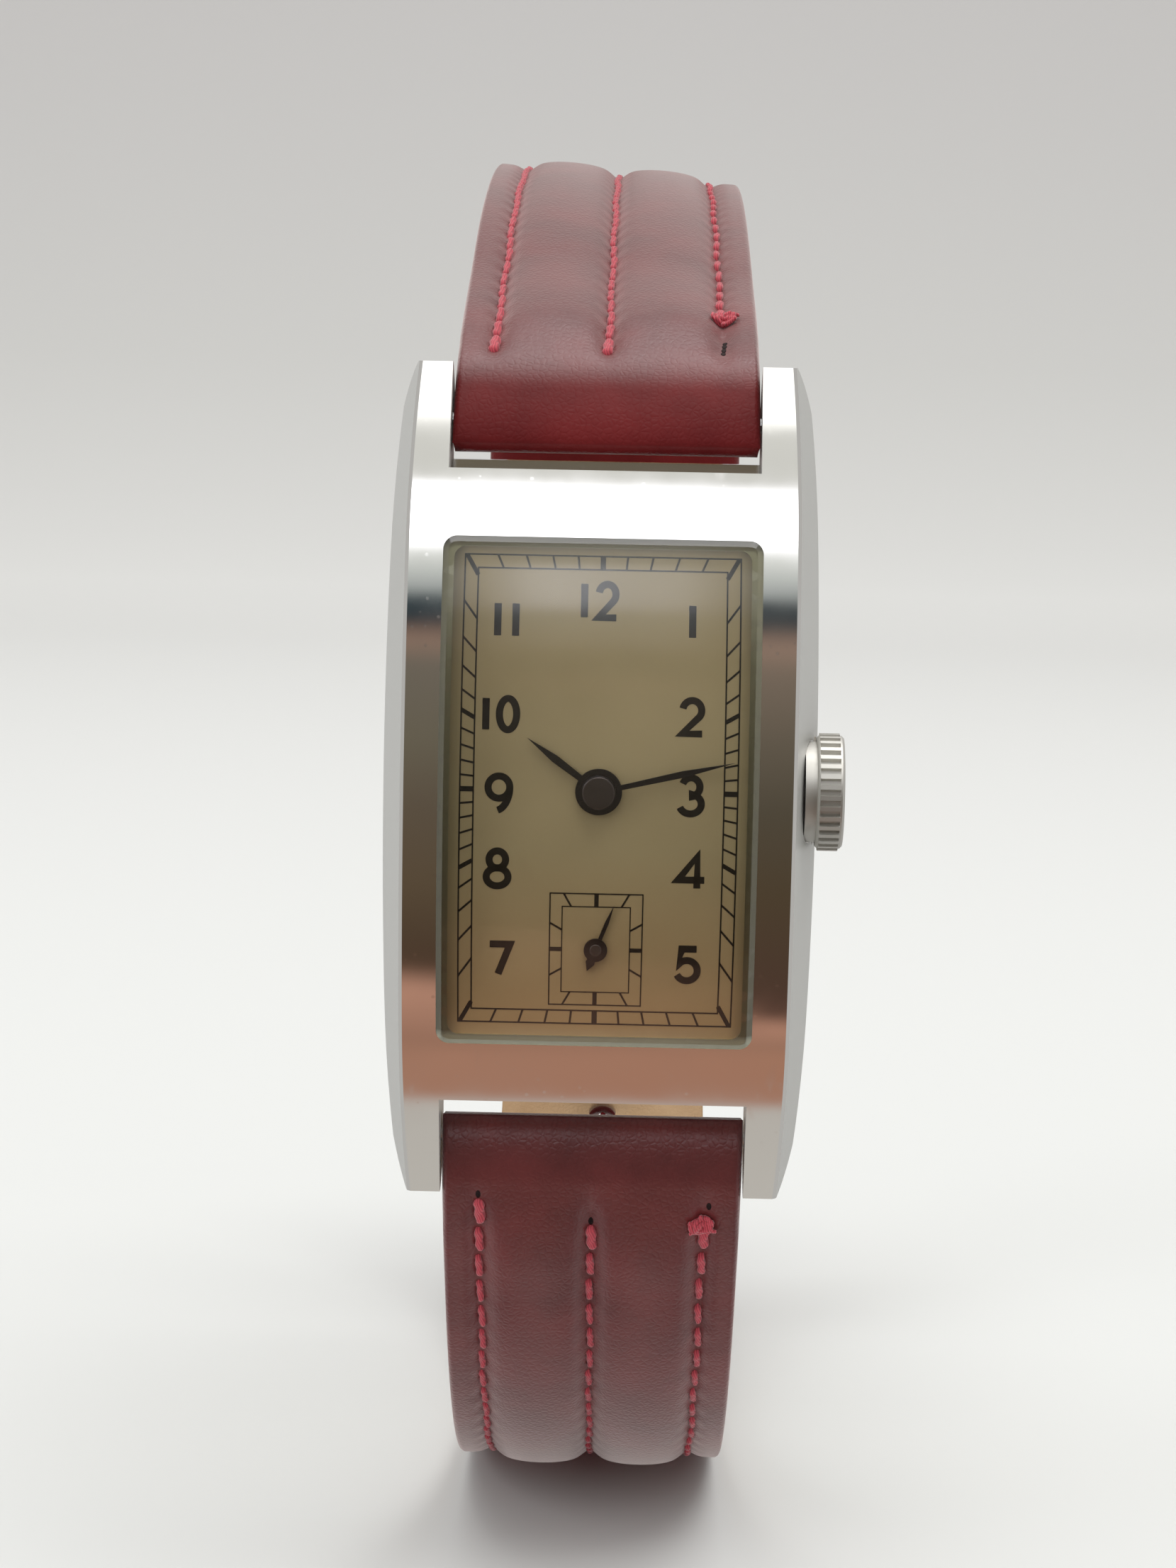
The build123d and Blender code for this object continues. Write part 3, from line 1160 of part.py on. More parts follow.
def spring_bar(side):
    """Tube of a spring bar."""
    tube = rod(BAR_R, -BAR_HALF, BAR_HALF, side * BAR_Y, BAR_Z)
    for end in (1, -1):
        x = sorted((end * (PIN_BAR_START - RUN_GAP * 3 - BAR_R * 2), end * BAR_HALF))
        tube -= rod(BAR_BORE_R, x[0], x[1], side * BAR_Y, BAR_Z)
    return tube


def bar_pin(side, end):
    """One end pin of a spring bar, in the horn's hole."""
    x = sorted((end * PIN_BAR_START, end * PIN_BAR_END))
    return rod(PIN_BAR_R, x[0], x[1], side * BAR_Y, BAR_Z)


# The strap's side path: length along it, position and heading
UPPER_LENGTH = UPPER_RADIUS * math.radians(UPPER_HORIZON - UPPER_HEADING)
LOWER_LENGTH = LOWER_RADIUS * math.radians(LOWER_HORIZON - LOWER_HEADING)
SHORT_ARC = SHORT_RADIUS * math.radians(SHORT_HEADING - UPPER_HORIZON)
SHORT_LENGTH = UPPER_LENGTH + SHORT_ARC + SHORT_STRAIGHT
UPPER_PATH = (UPPER_HEADING, UPPER_RADIUS, UPPER_HORIZON, SHORT_RADIUS, SHORT_HEADING)
LOWER_PATH = (LOWER_HEADING, LOWER_RADIUS, LOWER_HORIZON, LONG_RADIUS, SHORT_HEADING * 2)


def arc_end(y, z, radius, first, last):
    """End point of an arc that turns from one heading to another."""
    a, b = math.radians(first), math.radians(last)
    return y + radius * (math.sin(b) - math.sin(a)), z + radius * (math.cos(b) - math.cos(a))


def path_point(s, path):
    """Position and heading of the strap's middle at a length from the spring bar."""
    start, first_radius, horizon, radius, limit = path
    first_length = first_radius * math.radians(horizon - start)
    if s <= first_length:
        heading = start + math.degrees(s / first_radius)
        y, z = arc_end(BAR_Y, BAR_Z, first_radius, start, heading)
        return y, z, heading
    y, z = arc_end(BAR_Y, BAR_Z, first_radius, start, horizon)
    heading = horizon + math.degrees((s - first_length) / radius)
    if heading <= limit:
        y, z = arc_end(y, z, radius, horizon, heading)
        return y, z, heading
    y, z = arc_end(y, z, radius, horizon, limit)
    rest = s - first_length - radius * math.radians(limit - horizon)
    turn = math.radians(limit)
    return y + rest * math.cos(turn), z - rest * math.sin(turn), limit


def strap_plane(s, path):
    """Section plane across the strap, its y axis pointing away from the wrist."""
    y, z, heading = path_point(s, path)
    turn = math.radians(heading)
    return Plane(origin=(0, y, z), x_dir=(1, 0, 0), z_dir=(0, -math.cos(turn), math.sin(turn)))


def short_plane(s):
    """Section plane of the short upper half."""
    return strap_plane(s, UPPER_PATH)


def long_plane(s):
    """Section plane of the long half, before it is mirrored to the lower side."""
    return strap_plane(s, LOWER_PATH)


def ease(value, start, end):
    """Share of the way from start to end, held between nothing and all."""
    return min(1, max(0, (value - start) / (end - start)))


def strap_width(s, length, pointed):
    """Width along the strap, tapering to the buckle size and to the pointed tip."""
    width = STRAP_WIDTH + (BUCKLE_WIDTH - STRAP_WIDTH) * ease(s, 0, SHORT_LENGTH)
    if pointed:
        share = ease(s, length - TIP_LENGTH, length)
        width += (TIP_WIDTH - width) * (1 - math.sqrt(1 - share**2) * TIP_ROUND_SHARE - (1 - share) * (1 - TIP_ROUND_SHARE))
    return width


def leather_section(plane, s, length, pointed):
    """Outline across the padded leather: two flat flanges and two padded ribs."""
    half = strap_width(s, length, pointed) / 2
    along = ease(s, 0, length)
    top = FLANGE_TOP + (END_FLANGE_TOP - FLANGE_TOP) * along
    fold = 1 - ease(s, RIB_START, RIB_FULL)
    top += (LOOP_R - FLANGE_TOP) * (1 - ease(s, 0, RIB_FULL)) ** 2
    rise = RIB_HEIGHT + (END_RIB_HEIGHT - RIB_HEIGHT) * along
    rise *= 1 - fold
    fade_start = length - TIP_LENGTH if pointed else length - FOLD_LENGTH * 2
    rise *= 1 - ease(s, fade_start, length - FOLD_STEP)
    base = LEATHER_BASE
    if s < FOLD_LENGTH + FOLD_STEP / 2:
        base = -LOOP_R + SLIM_GAP
    if not pointed and s > length - FOLD_LENGTH - FOLD_STEP / 2:
        base = -BUCKLE_LOOP_R + SLIM_GAP
        top = BUCKLE_LOOP_R - SLIM_GAP
    flange = FLANGE * half / (STRAP_WIDTH / 2)
    edge = half - flange
    shoulder = RIB_SHOULDER * edge / (STRAP_WIDTH / 2 - FLANGE)
    rib = [
        (edge, top),
        (edge - shoulder / 2, top + rise * RIB_SHOULDER_SHARE),
        (edge - shoulder * 2, top + rise),
        (shoulder * 2, top + rise),
        (shoulder / 2, top + rise * RIB_SHOULDER_SHARE),
    ]
    right = [(half, base), (half, top)] + rib
    left = [(-x, y) for x, y in reversed(right)]
    points = right + [(0, top + rise * RIB_EDGE)] + left
    return Wire.make_polygon([plane.from_local_coords(Vector(x, y, 0)) for x, y in points], close=True)


def lining_section(plane, s, length, pointed):
    """Outline across the thin lining."""
    half = strap_width(s, length, pointed) / 2
    points = [(half, LINING_BASE), (half, LEATHER_BASE), (-half, LEATHER_BASE), (-half, LINING_BASE)]
    return Wire.make_polygon([plane.from_local_coords(Vector(x, y, 0)) for x, y in points], close=True)


def stations(length, pointed):
    """Lengths at which the leather and its lining are cut into sections."""
    fold_end = FOLD_LENGTH + FOLD_STEP
    near = [0, RIB_START, RIB_START * 2, FOLD_LENGTH, fold_end, length]
    if pointed:
        near += [LOWER_LENGTH] + [length - TIP_LENGTH * share for share in TIP_STATION_SHARES]
    else:
        near += [length - FOLD_LENGTH, length - fold_end, length - FOLD_LENGTH * 2]
        near += [UPPER_LENGTH, UPPER_LENGTH + SHORT_ARC]
    count = LONG_STATIONS if pointed else SHORT_STATIONS
    steps = [length * index / count for index in range(count + 1)]
    kept = [value for value in steps if all(abs(value - other) > FOLD_STEP * 2 for other in near)]
    return sorted(kept + near)


def leather(plane_at, length, pointed):
    """Padded leather of one strap half with the loop round the spring bar."""
    wires = [leather_section(plane_at(s), s, length, pointed) for s in stations(length, pointed)]
    body = Part() + Solid.make_loft(wires, ruled=True)
    half = STRAP_WIDTH / 2
    body += rod(LOOP_R, -half, half, BAR_Y, BAR_Z)
    return body - rod(LOOP_BORE, -half * 2, half * 2, BAR_Y, BAR_Z)


def lining(plane_at, length, pointed):
    """Thin lining of one strap half."""
    start = FOLD_LENGTH + FOLD_STEP
    end = length if pointed else length - start
    kept = [s for s in stations(length, pointed) if start <= s <= end]
    wires = [lining_section(plane_at(s), s, length, pointed) for s in kept]
    return Part() + Solid.make_loft(wires, ruled=True)


def upper_strap():
    """Short half: ends in a slotted loop round the buckle bar."""
    body = leather(short_plane, SHORT_LENGTH, False)
    plane = short_plane(SHORT_LENGTH)
    half = BUCKLE_WIDTH / 2
    body += rod(BUCKLE_LOOP_R, -half, half, plane.origin.Y, plane.origin.Z)
    body -= rod(LOOP_BORE, -half * 2, half * 2, plane.origin.Y, plane.origin.Z)
    slot = TONGUE_SLOT / 2
    low = plane.origin.Y - OVERRUN / 2
    high = plane.origin.Y + TONGUE_SLOT_LENGTH
    body -= block(-slot, slot, low, high, plane.origin.Z - OVERRUN / 4, plane.origin.Z + OVERRUN / 4)
    return body


def upper_strap_lining():
    """Lining of the short half."""
    return lining(short_plane, SHORT_LENGTH, False)


def buckle_holes():
    """The row of tongue holes in the long half."""
    cuts = None
    for index in range(HOLE_COUNT):
        plane = long_plane(LONG_LENGTH - FIRST_HOLE - index * HOLE_PITCH)
        cut = plane * (Rot(90, 0, 0) * Pos(0, 0, -OVERRUN / 4) * prism(HOLE_R, OVERRUN / 2))
        cuts = cut if cuts is None else cuts + cut
    return cuts


def lower_strap():
    """Long half with its pointed tip and the tongue holes."""
    return mirror(leather(long_plane, LONG_LENGTH, True) - buckle_holes(), about=Plane.XZ)


def lower_strap_lining():
    """Lining of the long half."""
    return mirror(lining(long_plane, LONG_LENGTH, True) - buckle_holes(), about=Plane.XZ)


def at_buckle(shape):
    """Moves a shape from the buckle bar's own frame to the end of the short half."""
    return short_plane(SHORT_LENGTH) * shape


def across(outline, half):
    """Extrudes a side outline across the buckle; outline x is away from the wrist, y along."""
    turned = Plane(origin=(0, 0, 0), x_dir=(0, 1, 0), z_dir=(1, 0, 0))
    return extrude(turned * outline, amount=half, both=True)


def buckle_frame():
    """Rectangular buckle frame with holes for its bar."""
    middle = (FRAME_LENGTH - FRAME_HEEL) / 2
    outline = RectangleRounded(FRAME_WIDTH, FRAME_LENGTH + FRAME_HEEL, FRAME_CORNER)
    outer = Plane.XZ * (Pos(0, -middle) * outline)
    long = FRAME_LENGTH - FRAME_FRONT + FRAME_HEEL * 2
    centre = (FRAME_LENGTH - FRAME_FRONT) - long / 2
    inner = Plane.XZ * (Pos(0, -centre) * RectangleRounded(FRAME_INNER, long, FRAME_CORNER / 2))
    ring = extrude(outer, amount=FRAME_THICK / 2, both=True)
    ring = chamfer(ring.faces().sort_by(Axis.Y)[-1].edges(), FACE_BEVEL * 2)
    ring -= extrude(inner, amount=FRAME_THICK, both=True)
    ring -= rod(BUCKLE_BAR_R, -OVERRUN, OVERRUN, 0, 0)
    return at_buckle(ring)


def buckle_bar():
    """Bar fixed in the frame, under the strap loop and the tongue."""
    half = FRAME_WIDTH / 2
    return at_buckle(rod(BUCKLE_BAR_R, -half, half, 0, 0))


def buckle_tongue():
    """Tongue looped on the bar and resting on the frame's front."""
    rest = FRAME_THICK / 2 + TONGUE_GAP
    end = FRAME_LENGTH + TONGUE_OVERHANG
    front = FRAME_LENGTH - FRAME_FRONT
    outline = Polygon(
        (rest, 0), (rest, -front), (rest, -FRAME_LENGTH), (rest + TONGUE_DROP, -end),
        (rest + TONGUE_THICK, -end + TONGUE_DROP), (rest + TONGUE_THICK, -front), (TONGUE_LOOP_R, 0),
        align=None,
    )
    arm = across(outline, TONGUE_WIDTH / 2)
    half = TONGUE_WIDTH / 2
    tongue = arm + rod(TONGUE_LOOP_R, -half, half, 0, 0)
    return at_buckle(tongue - rod(LOOP_BORE, -OVERRUN, OVERRUN, 0, 0))


def keeper(back, room):
    """A leather band round the short half with room for the long half to pass."""
    s = SHORT_LENGTH - back
    half = strap_width(s - KEEPER_LENGTH, SHORT_LENGTH, False) / 2 + room
    low = LINING_BASE - room
    high = low + room + room + KEEPER_HEIGHT
    wide, tall = half + half, high - low
    middle = Plane.XY * Pos(0, (high + low) / 2)
    outer = middle * RectangleRounded(wide + KEEPER_WALL * 2, tall + KEEPER_WALL * 2, KEEPER_CORNER)
    inner = middle * Rectangle(wide, tall)
    band = extrude(outer - inner, amount=KEEPER_LENGTH)
    return short_plane(s) * band


def fixed_keeper():
    """Keeper sewn to the strap beside the buckle."""
    return keeper(FIXED_KEEPER_BACK, SLIM_GAP)


def free_keeper():
    """Keeper that slides on the straight end of the short half."""
    return keeper(FIXED_KEEPER_BACK + KEEPER_LENGTH + FREE_KEEPER_GAP, KEEPER_ROOM)


NODES = {
    "case_body": case_body,
    "case_back": case_back,
    "crystal": crystal,
    "crown_tube": crown_tube,
    "dial": dial,
    "main_plate": main_plate,
    "barrel_bridge": barrel_bridge,
    "train_bridge": train_bridge,
    "balance_cock": balance_cock,
    "pallet_cock": pallet_cock,
    "bridge_screws": bridge_screws,
    "jewels": jewels,
    "hairspring": hairspring,
    "click_spring": click_spring,
    "setting_lever_spring": setting_lever_spring,
    "click": click,
    "regulator": regulator,
    "barrel_drum": barrel_drum,
    "barrel_cover": barrel_cover,
    "mainspring": mainspring,
    "barrel_arbor": barrel_arbor,
    "ratchet_wheel": ratchet_wheel,
    "crown_wheel": crown_wheel,
    "winding_pinion": winding_pinion,
    "sliding_clutch": sliding_clutch,
    "winding_stem": winding_stem,
    "crown": crown,
    "setting_lever": setting_lever,
    "yoke": yoke,
    "setting_wheel": setting_wheel,
    "minute_wheel": minute_wheel,
    "cannon_pinion": cannon_pinion,
    "hour_wheel": hour_wheel,
    "centre_wheel": centre_wheel,
    "third_wheel": third_wheel,
    "fourth_wheel": fourth_wheel,
    "escape_wheel": escape_wheel,
    "pallet_fork": pallet_fork,
    "balance_wheel": balance_wheel,
    "balance_staff": balance_staff,
    "hour_hand": hour_hand,
    "minute_hand": minute_hand,
    "seconds_hand": seconds_hand,
    "upper_spring_bar": lambda: spring_bar(1),
    "lower_spring_bar": lambda: spring_bar(-1),
    "upper_bar_pin_right": lambda: bar_pin(1, 1),
    "upper_bar_pin_left": lambda: bar_pin(1, -1),
    "lower_bar_pin_right": lambda: bar_pin(-1, 1),
    "lower_bar_pin_left": lambda: bar_pin(-1, -1),
    "upper_strap": upper_strap,
    "upper_strap_lining": upper_strap_lining,
    "lower_strap": lower_strap,
    "lower_strap_lining": lower_strap_lining,
    "buckle_frame": buckle_frame,
    "buckle_bar": buckle_bar,
    "buckle_tongue": buckle_tongue,
    "fixed_keeper": fixed_keeper,
    "free_keeper": free_keeper,
}


def main():
    os.makedirs("parts", exist_ok=True)
    upright = Rot(90, 0, 0)
    for name, make in NODES.items():
        shape = upright * make()
        shape.label = name
        export_step(shape, f"parts/{name}.step")


main()
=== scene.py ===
import json
import math
from collections import namedtuple

import bmesh
import bpy
import numpy as np
from mathutils import Matrix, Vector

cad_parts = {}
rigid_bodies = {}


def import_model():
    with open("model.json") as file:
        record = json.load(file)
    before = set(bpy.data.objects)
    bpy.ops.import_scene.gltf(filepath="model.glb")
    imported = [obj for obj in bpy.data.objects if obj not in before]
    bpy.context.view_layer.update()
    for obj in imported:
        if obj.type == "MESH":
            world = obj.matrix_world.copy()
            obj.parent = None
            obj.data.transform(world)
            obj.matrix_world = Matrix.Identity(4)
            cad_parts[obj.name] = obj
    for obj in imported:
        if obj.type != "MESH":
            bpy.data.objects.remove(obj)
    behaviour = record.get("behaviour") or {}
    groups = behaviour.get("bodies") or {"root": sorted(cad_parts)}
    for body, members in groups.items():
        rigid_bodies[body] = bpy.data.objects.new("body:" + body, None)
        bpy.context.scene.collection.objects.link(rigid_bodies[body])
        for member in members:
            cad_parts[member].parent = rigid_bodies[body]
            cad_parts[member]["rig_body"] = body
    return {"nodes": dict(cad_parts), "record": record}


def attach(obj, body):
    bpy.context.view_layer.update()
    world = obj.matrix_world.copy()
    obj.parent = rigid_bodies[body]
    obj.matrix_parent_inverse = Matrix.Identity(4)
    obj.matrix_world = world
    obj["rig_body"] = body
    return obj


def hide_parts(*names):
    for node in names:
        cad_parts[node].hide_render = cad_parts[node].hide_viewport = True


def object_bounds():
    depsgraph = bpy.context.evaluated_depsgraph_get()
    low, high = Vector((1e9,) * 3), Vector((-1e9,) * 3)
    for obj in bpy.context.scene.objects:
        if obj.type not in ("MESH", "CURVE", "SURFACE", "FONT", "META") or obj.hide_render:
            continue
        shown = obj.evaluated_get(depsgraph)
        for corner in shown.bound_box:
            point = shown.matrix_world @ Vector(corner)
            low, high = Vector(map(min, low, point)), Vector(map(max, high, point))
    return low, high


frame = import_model()
cad_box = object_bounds()
nodes = frame["nodes"]

# The watch is worked out in millimetres with x to 3 o'clock, y to 12 o'clock and z to the reader
MM = 0.001

# Case and crystal
CREST_Z = 7.4
FRONT_RADIUS = 45.0
CRYSTAL_CREST_Z = 7.95
CRYSTAL_RADIUS = 40.0
CRYSTAL_WIDTH, CRYSTAL_LENGTH, CRYSTAL_Y, CRYSTAL_CORNER = 16.3, 26.2, -0.1, 0.7
SKIN = 0.03
LENS_ALONG, LENS_ACROSS = 1.26, 1 / 60

# Dial
DIAL_Z = 5.0
PRINT_RISE = 0.008
SECONDS_Y = -8.1
TRACK_WIDTH, TRACK_LENGTH, TRACK_BAND = 13.95, 23.9, 0.68
SECONDS_OUT, SECONDS_IN = (2.34, 2.87), (1.72, 2.2)
INK = 0.36

# Strap paths: start heading, first radius, heading where the second arc starts, second radius, last heading
BAR_Y, BAR_Z = 18.8, 1.0
UPPER_PATH = (57.0, 90.0, 85.0, 14.0, 180.0)
LOWER_PATH = (12.5, 30.2, 74.0, 45.0, 360.0)
STRAIGHT = 16.5
UPPER_LENGTH = 90.0 * math.radians(28.0) + 14.0 * math.radians(95.0) + STRAIGHT
LOWER_LENGTH = 114.0
LEAN = 0.072

# Strap section: the nose reaches past the spring bar, rolls up to the shoulder and settles to the flange
STRAP_WIDTH, BUCKLE_WIDTH, POINT_WIDTH, POINT_LENGTH = 15.86, 14.0, 4.4, 11.0
POINT_ROUND, POINT_TAPER = 0.65, 0.35
Strap = namedtuple("Strap", "path side length pointed body nose roll shoulder settled")
UPPER = Strap(UPPER_PATH, 1, UPPER_LENGTH, False, "upper_strap_half", 2.05, 3.3, 2.2, 17.0)
LOWER = Strap(LOWER_PATH, -1, LOWER_LENGTH, True, "lower_strap_half", 1.1, 2.1, 1.6, 10.0)
LOOP_R, BUCKLE_LOOP_R, LOOP_GAP = 1.45, 1.35, 0.02
LEATHER_BASE, LINING_BASE = -0.6, -1.38
LOOP_END, LINING_START = 4.4, 5.2
# Heights where the painted shade at the upper strap's fold gives way to full sheen and gloss
FOLD_SHADE_START, FOLD_SHADE_END = 0.0204, 0.0223
LINE_INSET = 1.95
LINE_X = STRAP_WIDTH / 2 - LINE_INSET
LINE_SHARE = 1 - LINE_INSET / (STRAP_WIDTH / 2)
RIB_RISE, RIB_FALL = 0.6, 0.25
GROOVE_DEPTH, GROOVE_HALF = 0.42, 0.55

# Stitches, needle holes and tongue holes
STITCH_PITCH, STITCH_SHARE, THREAD_R = 1.9, 0.9, 0.21
UPPER_STITCHES = [(-1.0, 3.4, UPPER_LENGTH - 10), (0.0, 3.3, UPPER_LENGTH - 10), (1.0, 8.1, UPPER_LENGTH - 10)]
LOWER_STITCHES = [(-1.0, 3.0, LOWER_LENGTH - 12), (0.0, 4.6, LOWER_LENGTH - 12), (1.0, 4.4, LOWER_LENGTH - 12)]
UPPER_PRICKS = [(LINE_X + 0.1 - 0.03 * k, 5.1 - 0.4 * k) for k in range(4)]
LOWER_PRICKS = [(-LINE_X, 2.75), (0.0, 4.4), (LINE_X + 0.25, 3.2)]
PRICK_X, PRICK_S = 0.13, 0.24
HOLES, HOLE_R, HOLE_PITCH, HOLE_START, HOLE_SIDES = 7, 0.95, 6.5, 22.0, 28
SLOT_HALF, SLOT_BACK, SLOT_AHEAD, SLOT_DEEP = 1.5, 3.0, 5.2, 3.0

# Keepers
KEEPER_LENGTH, KEEPER_WALL, KEEPER_HEIGHT = 5.0, 0.9, 4.6
KEEPER_ROOM, SEWN_ROOM, FIXED_KEEPER_BACK, KEEPER_GAP = 0.2, 0.02, 5.6, 0.1
FREE_KEEPER_BACK = FIXED_KEEPER_BACK + KEEPER_LENGTH + KEEPER_GAP


def world(points):
    """Watch millimetres to row metres: (x, y, z) becomes (x, -z, y) / 1000, row by row."""
    points = np.asarray(points, dtype=float)
    return np.stack([points[..., 0], -points[..., 2], points[..., 1]], axis=-1) * MM


def new_object(name, data):
    """An object of the scene from its data."""
    made = bpy.data.objects.new(name, data)
    bpy.context.scene.collection.objects.link(made)
    return made


def mesh_piece(name, points, faces, body, slot, material=None, smooth=True):
    """A piece from points in watch millimetres and a list of faces, in its slot's material or a given one."""
    mesh = bpy.data.meshes.new(name)
    mesh.from_pydata(world(points).reshape(-1, 3).tolist(), [], faces)
    mesh.update()
    mesh.polygons.foreach_set("use_smooth", np.full(len(mesh.polygons), smooth))
    made = bmesh.new()
    made.from_mesh(mesh)
    bmesh.ops.recalc_face_normals(made, faces=made.faces)
    made.to_mesh(mesh)
    made.free()
    piece = new_object(name, mesh)
    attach(piece, body)
    dress(piece, material or SLOT_FINISH[slot])
    return piece


def grid_faces(rows, columns, round_rows=False, round_columns=False):
    """Quads of a grid of points, row by row, joined round where its rows or columns close."""
    last_row, last_column = rows - (not round_rows), columns - (not round_columns)
    i, j = np.meshgrid(np.arange(last_row), np.arange(last_column), indexing="ij")
    down, right = (i + 1) % rows, (j + 1) % columns
    corners = [i * columns + j, i * columns + right, down * columns + right, down * columns + j]
    return np.stack(corners, axis=-1).reshape(-1, 4).tolist()


def tube_faces(rows, columns):
    """Quads of a grid of closed rings with one face over each end."""
    faces = grid_faces(rows, columns, round_columns=True)
    faces.append(list(range(columns - 1, -1, -1)))
    faces.append(list(range((rows - 1) * columns, rows * columns)))
    return faces


def signed_power(value, power):
    """A value's size to a power with its own sign."""
    return np.sign(value) * np.abs(value) ** power


def unit(rows):
    """Rows of vectors, each brought to length 1."""
    return rows / np.linalg.norm(rows, axis=1)[:, None]


def sharpen(mesh, degrees):
    """Marks the edges that turn by more than an angle as sharp and shades the rest smooth."""
    work = bmesh.new()
    work.from_mesh(mesh)
    bmesh.ops.remove_doubles(work, verts=work.verts, dist=2e-7)
    limit = math.radians(degrees)
    for edge in work.edges:
        edge.smooth = len(edge.link_faces) == 2 and edge.calc_face_angle(0) < limit
    for face in work.faces:
        face.smooth = True
    work.to_mesh(mesh)
    work.free()


def dress(thing, material):
    """Gives an object one material."""
    thing.data.materials.clear()
    thing.data.materials.append(material)


def finished_copy(node, name, degrees, material=None):
    """A smooth-shaded copy of a CAD node that stands for it on the same body, in its slot's finish unless a
    material is given.
    """
    source = nodes[node]
    mesh = source.data.copy()
    sharpen(mesh, degrees)
    piece = new_object(name, mesh)
    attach(piece, source["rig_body"])
    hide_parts(node)
    dress(piece, material or SLOT_FINISH[slot_of[node]])
    return piece


def read_all(collection, name, width, kind=float):
    """One attribute of every item of a mesh collection, as rows of the given width."""
    values = np.empty(len(collection) * width, dtype=kind)
    collection.foreach_get(name, values)
    return values.reshape(-1, width)


def lengthwise_normals(piece, centre_z, radius, skin, along=1.0, across=0.0):
    """Exact normals for the skin of a lengthwise round: at height Z (0, -cos t, sin t) with sin t = Z / radius.

    A moulded crystal bulges more than its cut round: along scales Z / radius, and across adds x times it."""
    mesh = piece.data
    spots = read_all(mesh.vertices, "co", 3) / MM
    loops = read_all(mesh.loops, "vertex_index", 1, np.int64)[:, 0]
    normals = read_all(mesh.corner_normals, "vector", 3)
    total = read_all(mesh.polygons, "loop_total", 1, np.int64)[:, 0]
    flat = np.repeat(read_all(mesh.polygons, "normal", 3), total, axis=0)
    y, z = spots[loops, 2], -spots[loops, 1]
    off = np.abs(np.hypot(y, z - centre_z) - radius)
    ideal = unit(np.stack([np.zeros_like(y), -(z - centre_z), y], axis=1))
    on_skin = (off < skin) & ((flat * ideal).sum(axis=1) > 0.995)
    bulged = np.stack([spots[loops, 0] * across, -(z - centre_z) / radius, y * along / radius], axis=1)
    normals[on_skin] = unit(bulged)[on_skin]
    mesh.normals_split_custom_set(normals.tolist())


# Shader building


def new_material(name):
    """An empty node material, its tree and its Principled shader."""
    material = bpy.data.materials.new(name)
    material.use_nodes = True
    tree = material.node_tree
    return material, tree, tree.nodes["Principled BSDF"]


def feed(tree, node, **values):
    """Gives a node's sockets, by name or number, a value or a link from another socket."""
    for key, value in values.items():
        socket = node.inputs[int(key) if key.isdigit() else key.replace("_", " ")]
        if isinstance(value, bpy.types.NodeSocket):
            tree.links.new(value, socket)
        else:
            socket.default_value = value


def place(tree, kind, **values):
    """Adds a node: a name with _ before it is a socket, any other one a property."""
    node = tree.nodes.new(kind)
    for key, value in values.items():
        if not key.startswith("_"):
            setattr(node, key, value)
    feed(tree, node, **{key[1:]: value for key, value in values.items() if key.startswith("_")})
    return node


def reckon(tree, operation, *values):
    """One step of arithmetic on sockets and numbers."""
    sockets = {f"_{index}": value for index, value in enumerate(values)}
    return place(tree, "ShaderNodeMath", operation=operation, **sockets).outputs[0]


def spread(tree, value, low, high, least=0.0, most=1.0, **kind):
    """How far a value lies from low to high, as a value from least to most."""
    node = place(tree, "ShaderNodeMapRange", _Value=value, _From_Min=low, _From_Max=high, **kind)
    feed(tree, node, To_Min=least, To_Max=most)
    return node.outputs["Result"]


def noise(tree, vector, scale, detail=2.0):
    """Soft noise from 0 to 1."""
    return place(tree, "ShaderNodeTexNoise", _Vector=vector, _Scale=scale, _Detail=detail).outputs["Fac"]


def axes_of(tree, vector):
    """The X, Y and Z of a vector."""
    return place(tree, "ShaderNodeSeparateXYZ", _Vector=vector).outputs


def mix_colours(tree, share, first, second, blend="MIX"):
    """A share of the way from one colour to another."""
    # A mix node takes its two colours at sockets 6 and 7 and gives the mixed one at output 2
    node = place(tree, "ShaderNodeMix", data_type="RGBA", blend_type=blend, _0=share, _6=first, _7=second)
    return node.outputs[2]


def ramp(tree, source, *stops):
    """A colour ramp fed by a value: stops are (position, colour)."""
    node = place(tree, "ShaderNodeValToRGB", _Fac=source)
    elements = node.color_ramp.elements
    for index, (position, colour) in enumerate(stops):
        element = elements[index] if index < 2 else elements.new(position)
        element.position = position
        element.color = (*colour, 1)
    return node.outputs["Color"]


def object_coordinates(tree, scale=(1, 1, 1), turn=(0, 0, 0)):
    """The piece's own coordinates, scaled and turned."""
    here = place(tree, "ShaderNodeTexCoord").outputs["Object"]
    return place(tree, "ShaderNodeMapping", _Vector=here, _Scale=scale, _Rotation=turn).outputs["Vector"]


def bump(tree, shader, height, strength, distance):
    """Feeds a height into the shader's normal."""
    node = place(tree, "ShaderNodeBump", _Strength=strength, _Distance=distance, _Height=height)
    feed(tree, shader, Normal=node.outputs["Normal"])


def new_group(name, inputs, outputs):
    """An empty shader group of a vector and values: the group, its input sockets and its output node."""
    group = bpy.data.node_groups.new(name, "ShaderNodeTree")
    group.interface.new_socket(name="Vector", in_out="INPUT", socket_type="NodeSocketVector")
    for in_out, names in (("INPUT", inputs), ("OUTPUT", outputs)):
        for socket in names:
            group.interface.new_socket(name=socket, in_out=in_out, socket_type="NodeSocketFloat")
    return group, place(group, "NodeGroupInput").outputs, place(group, "NodeGroupOutput")


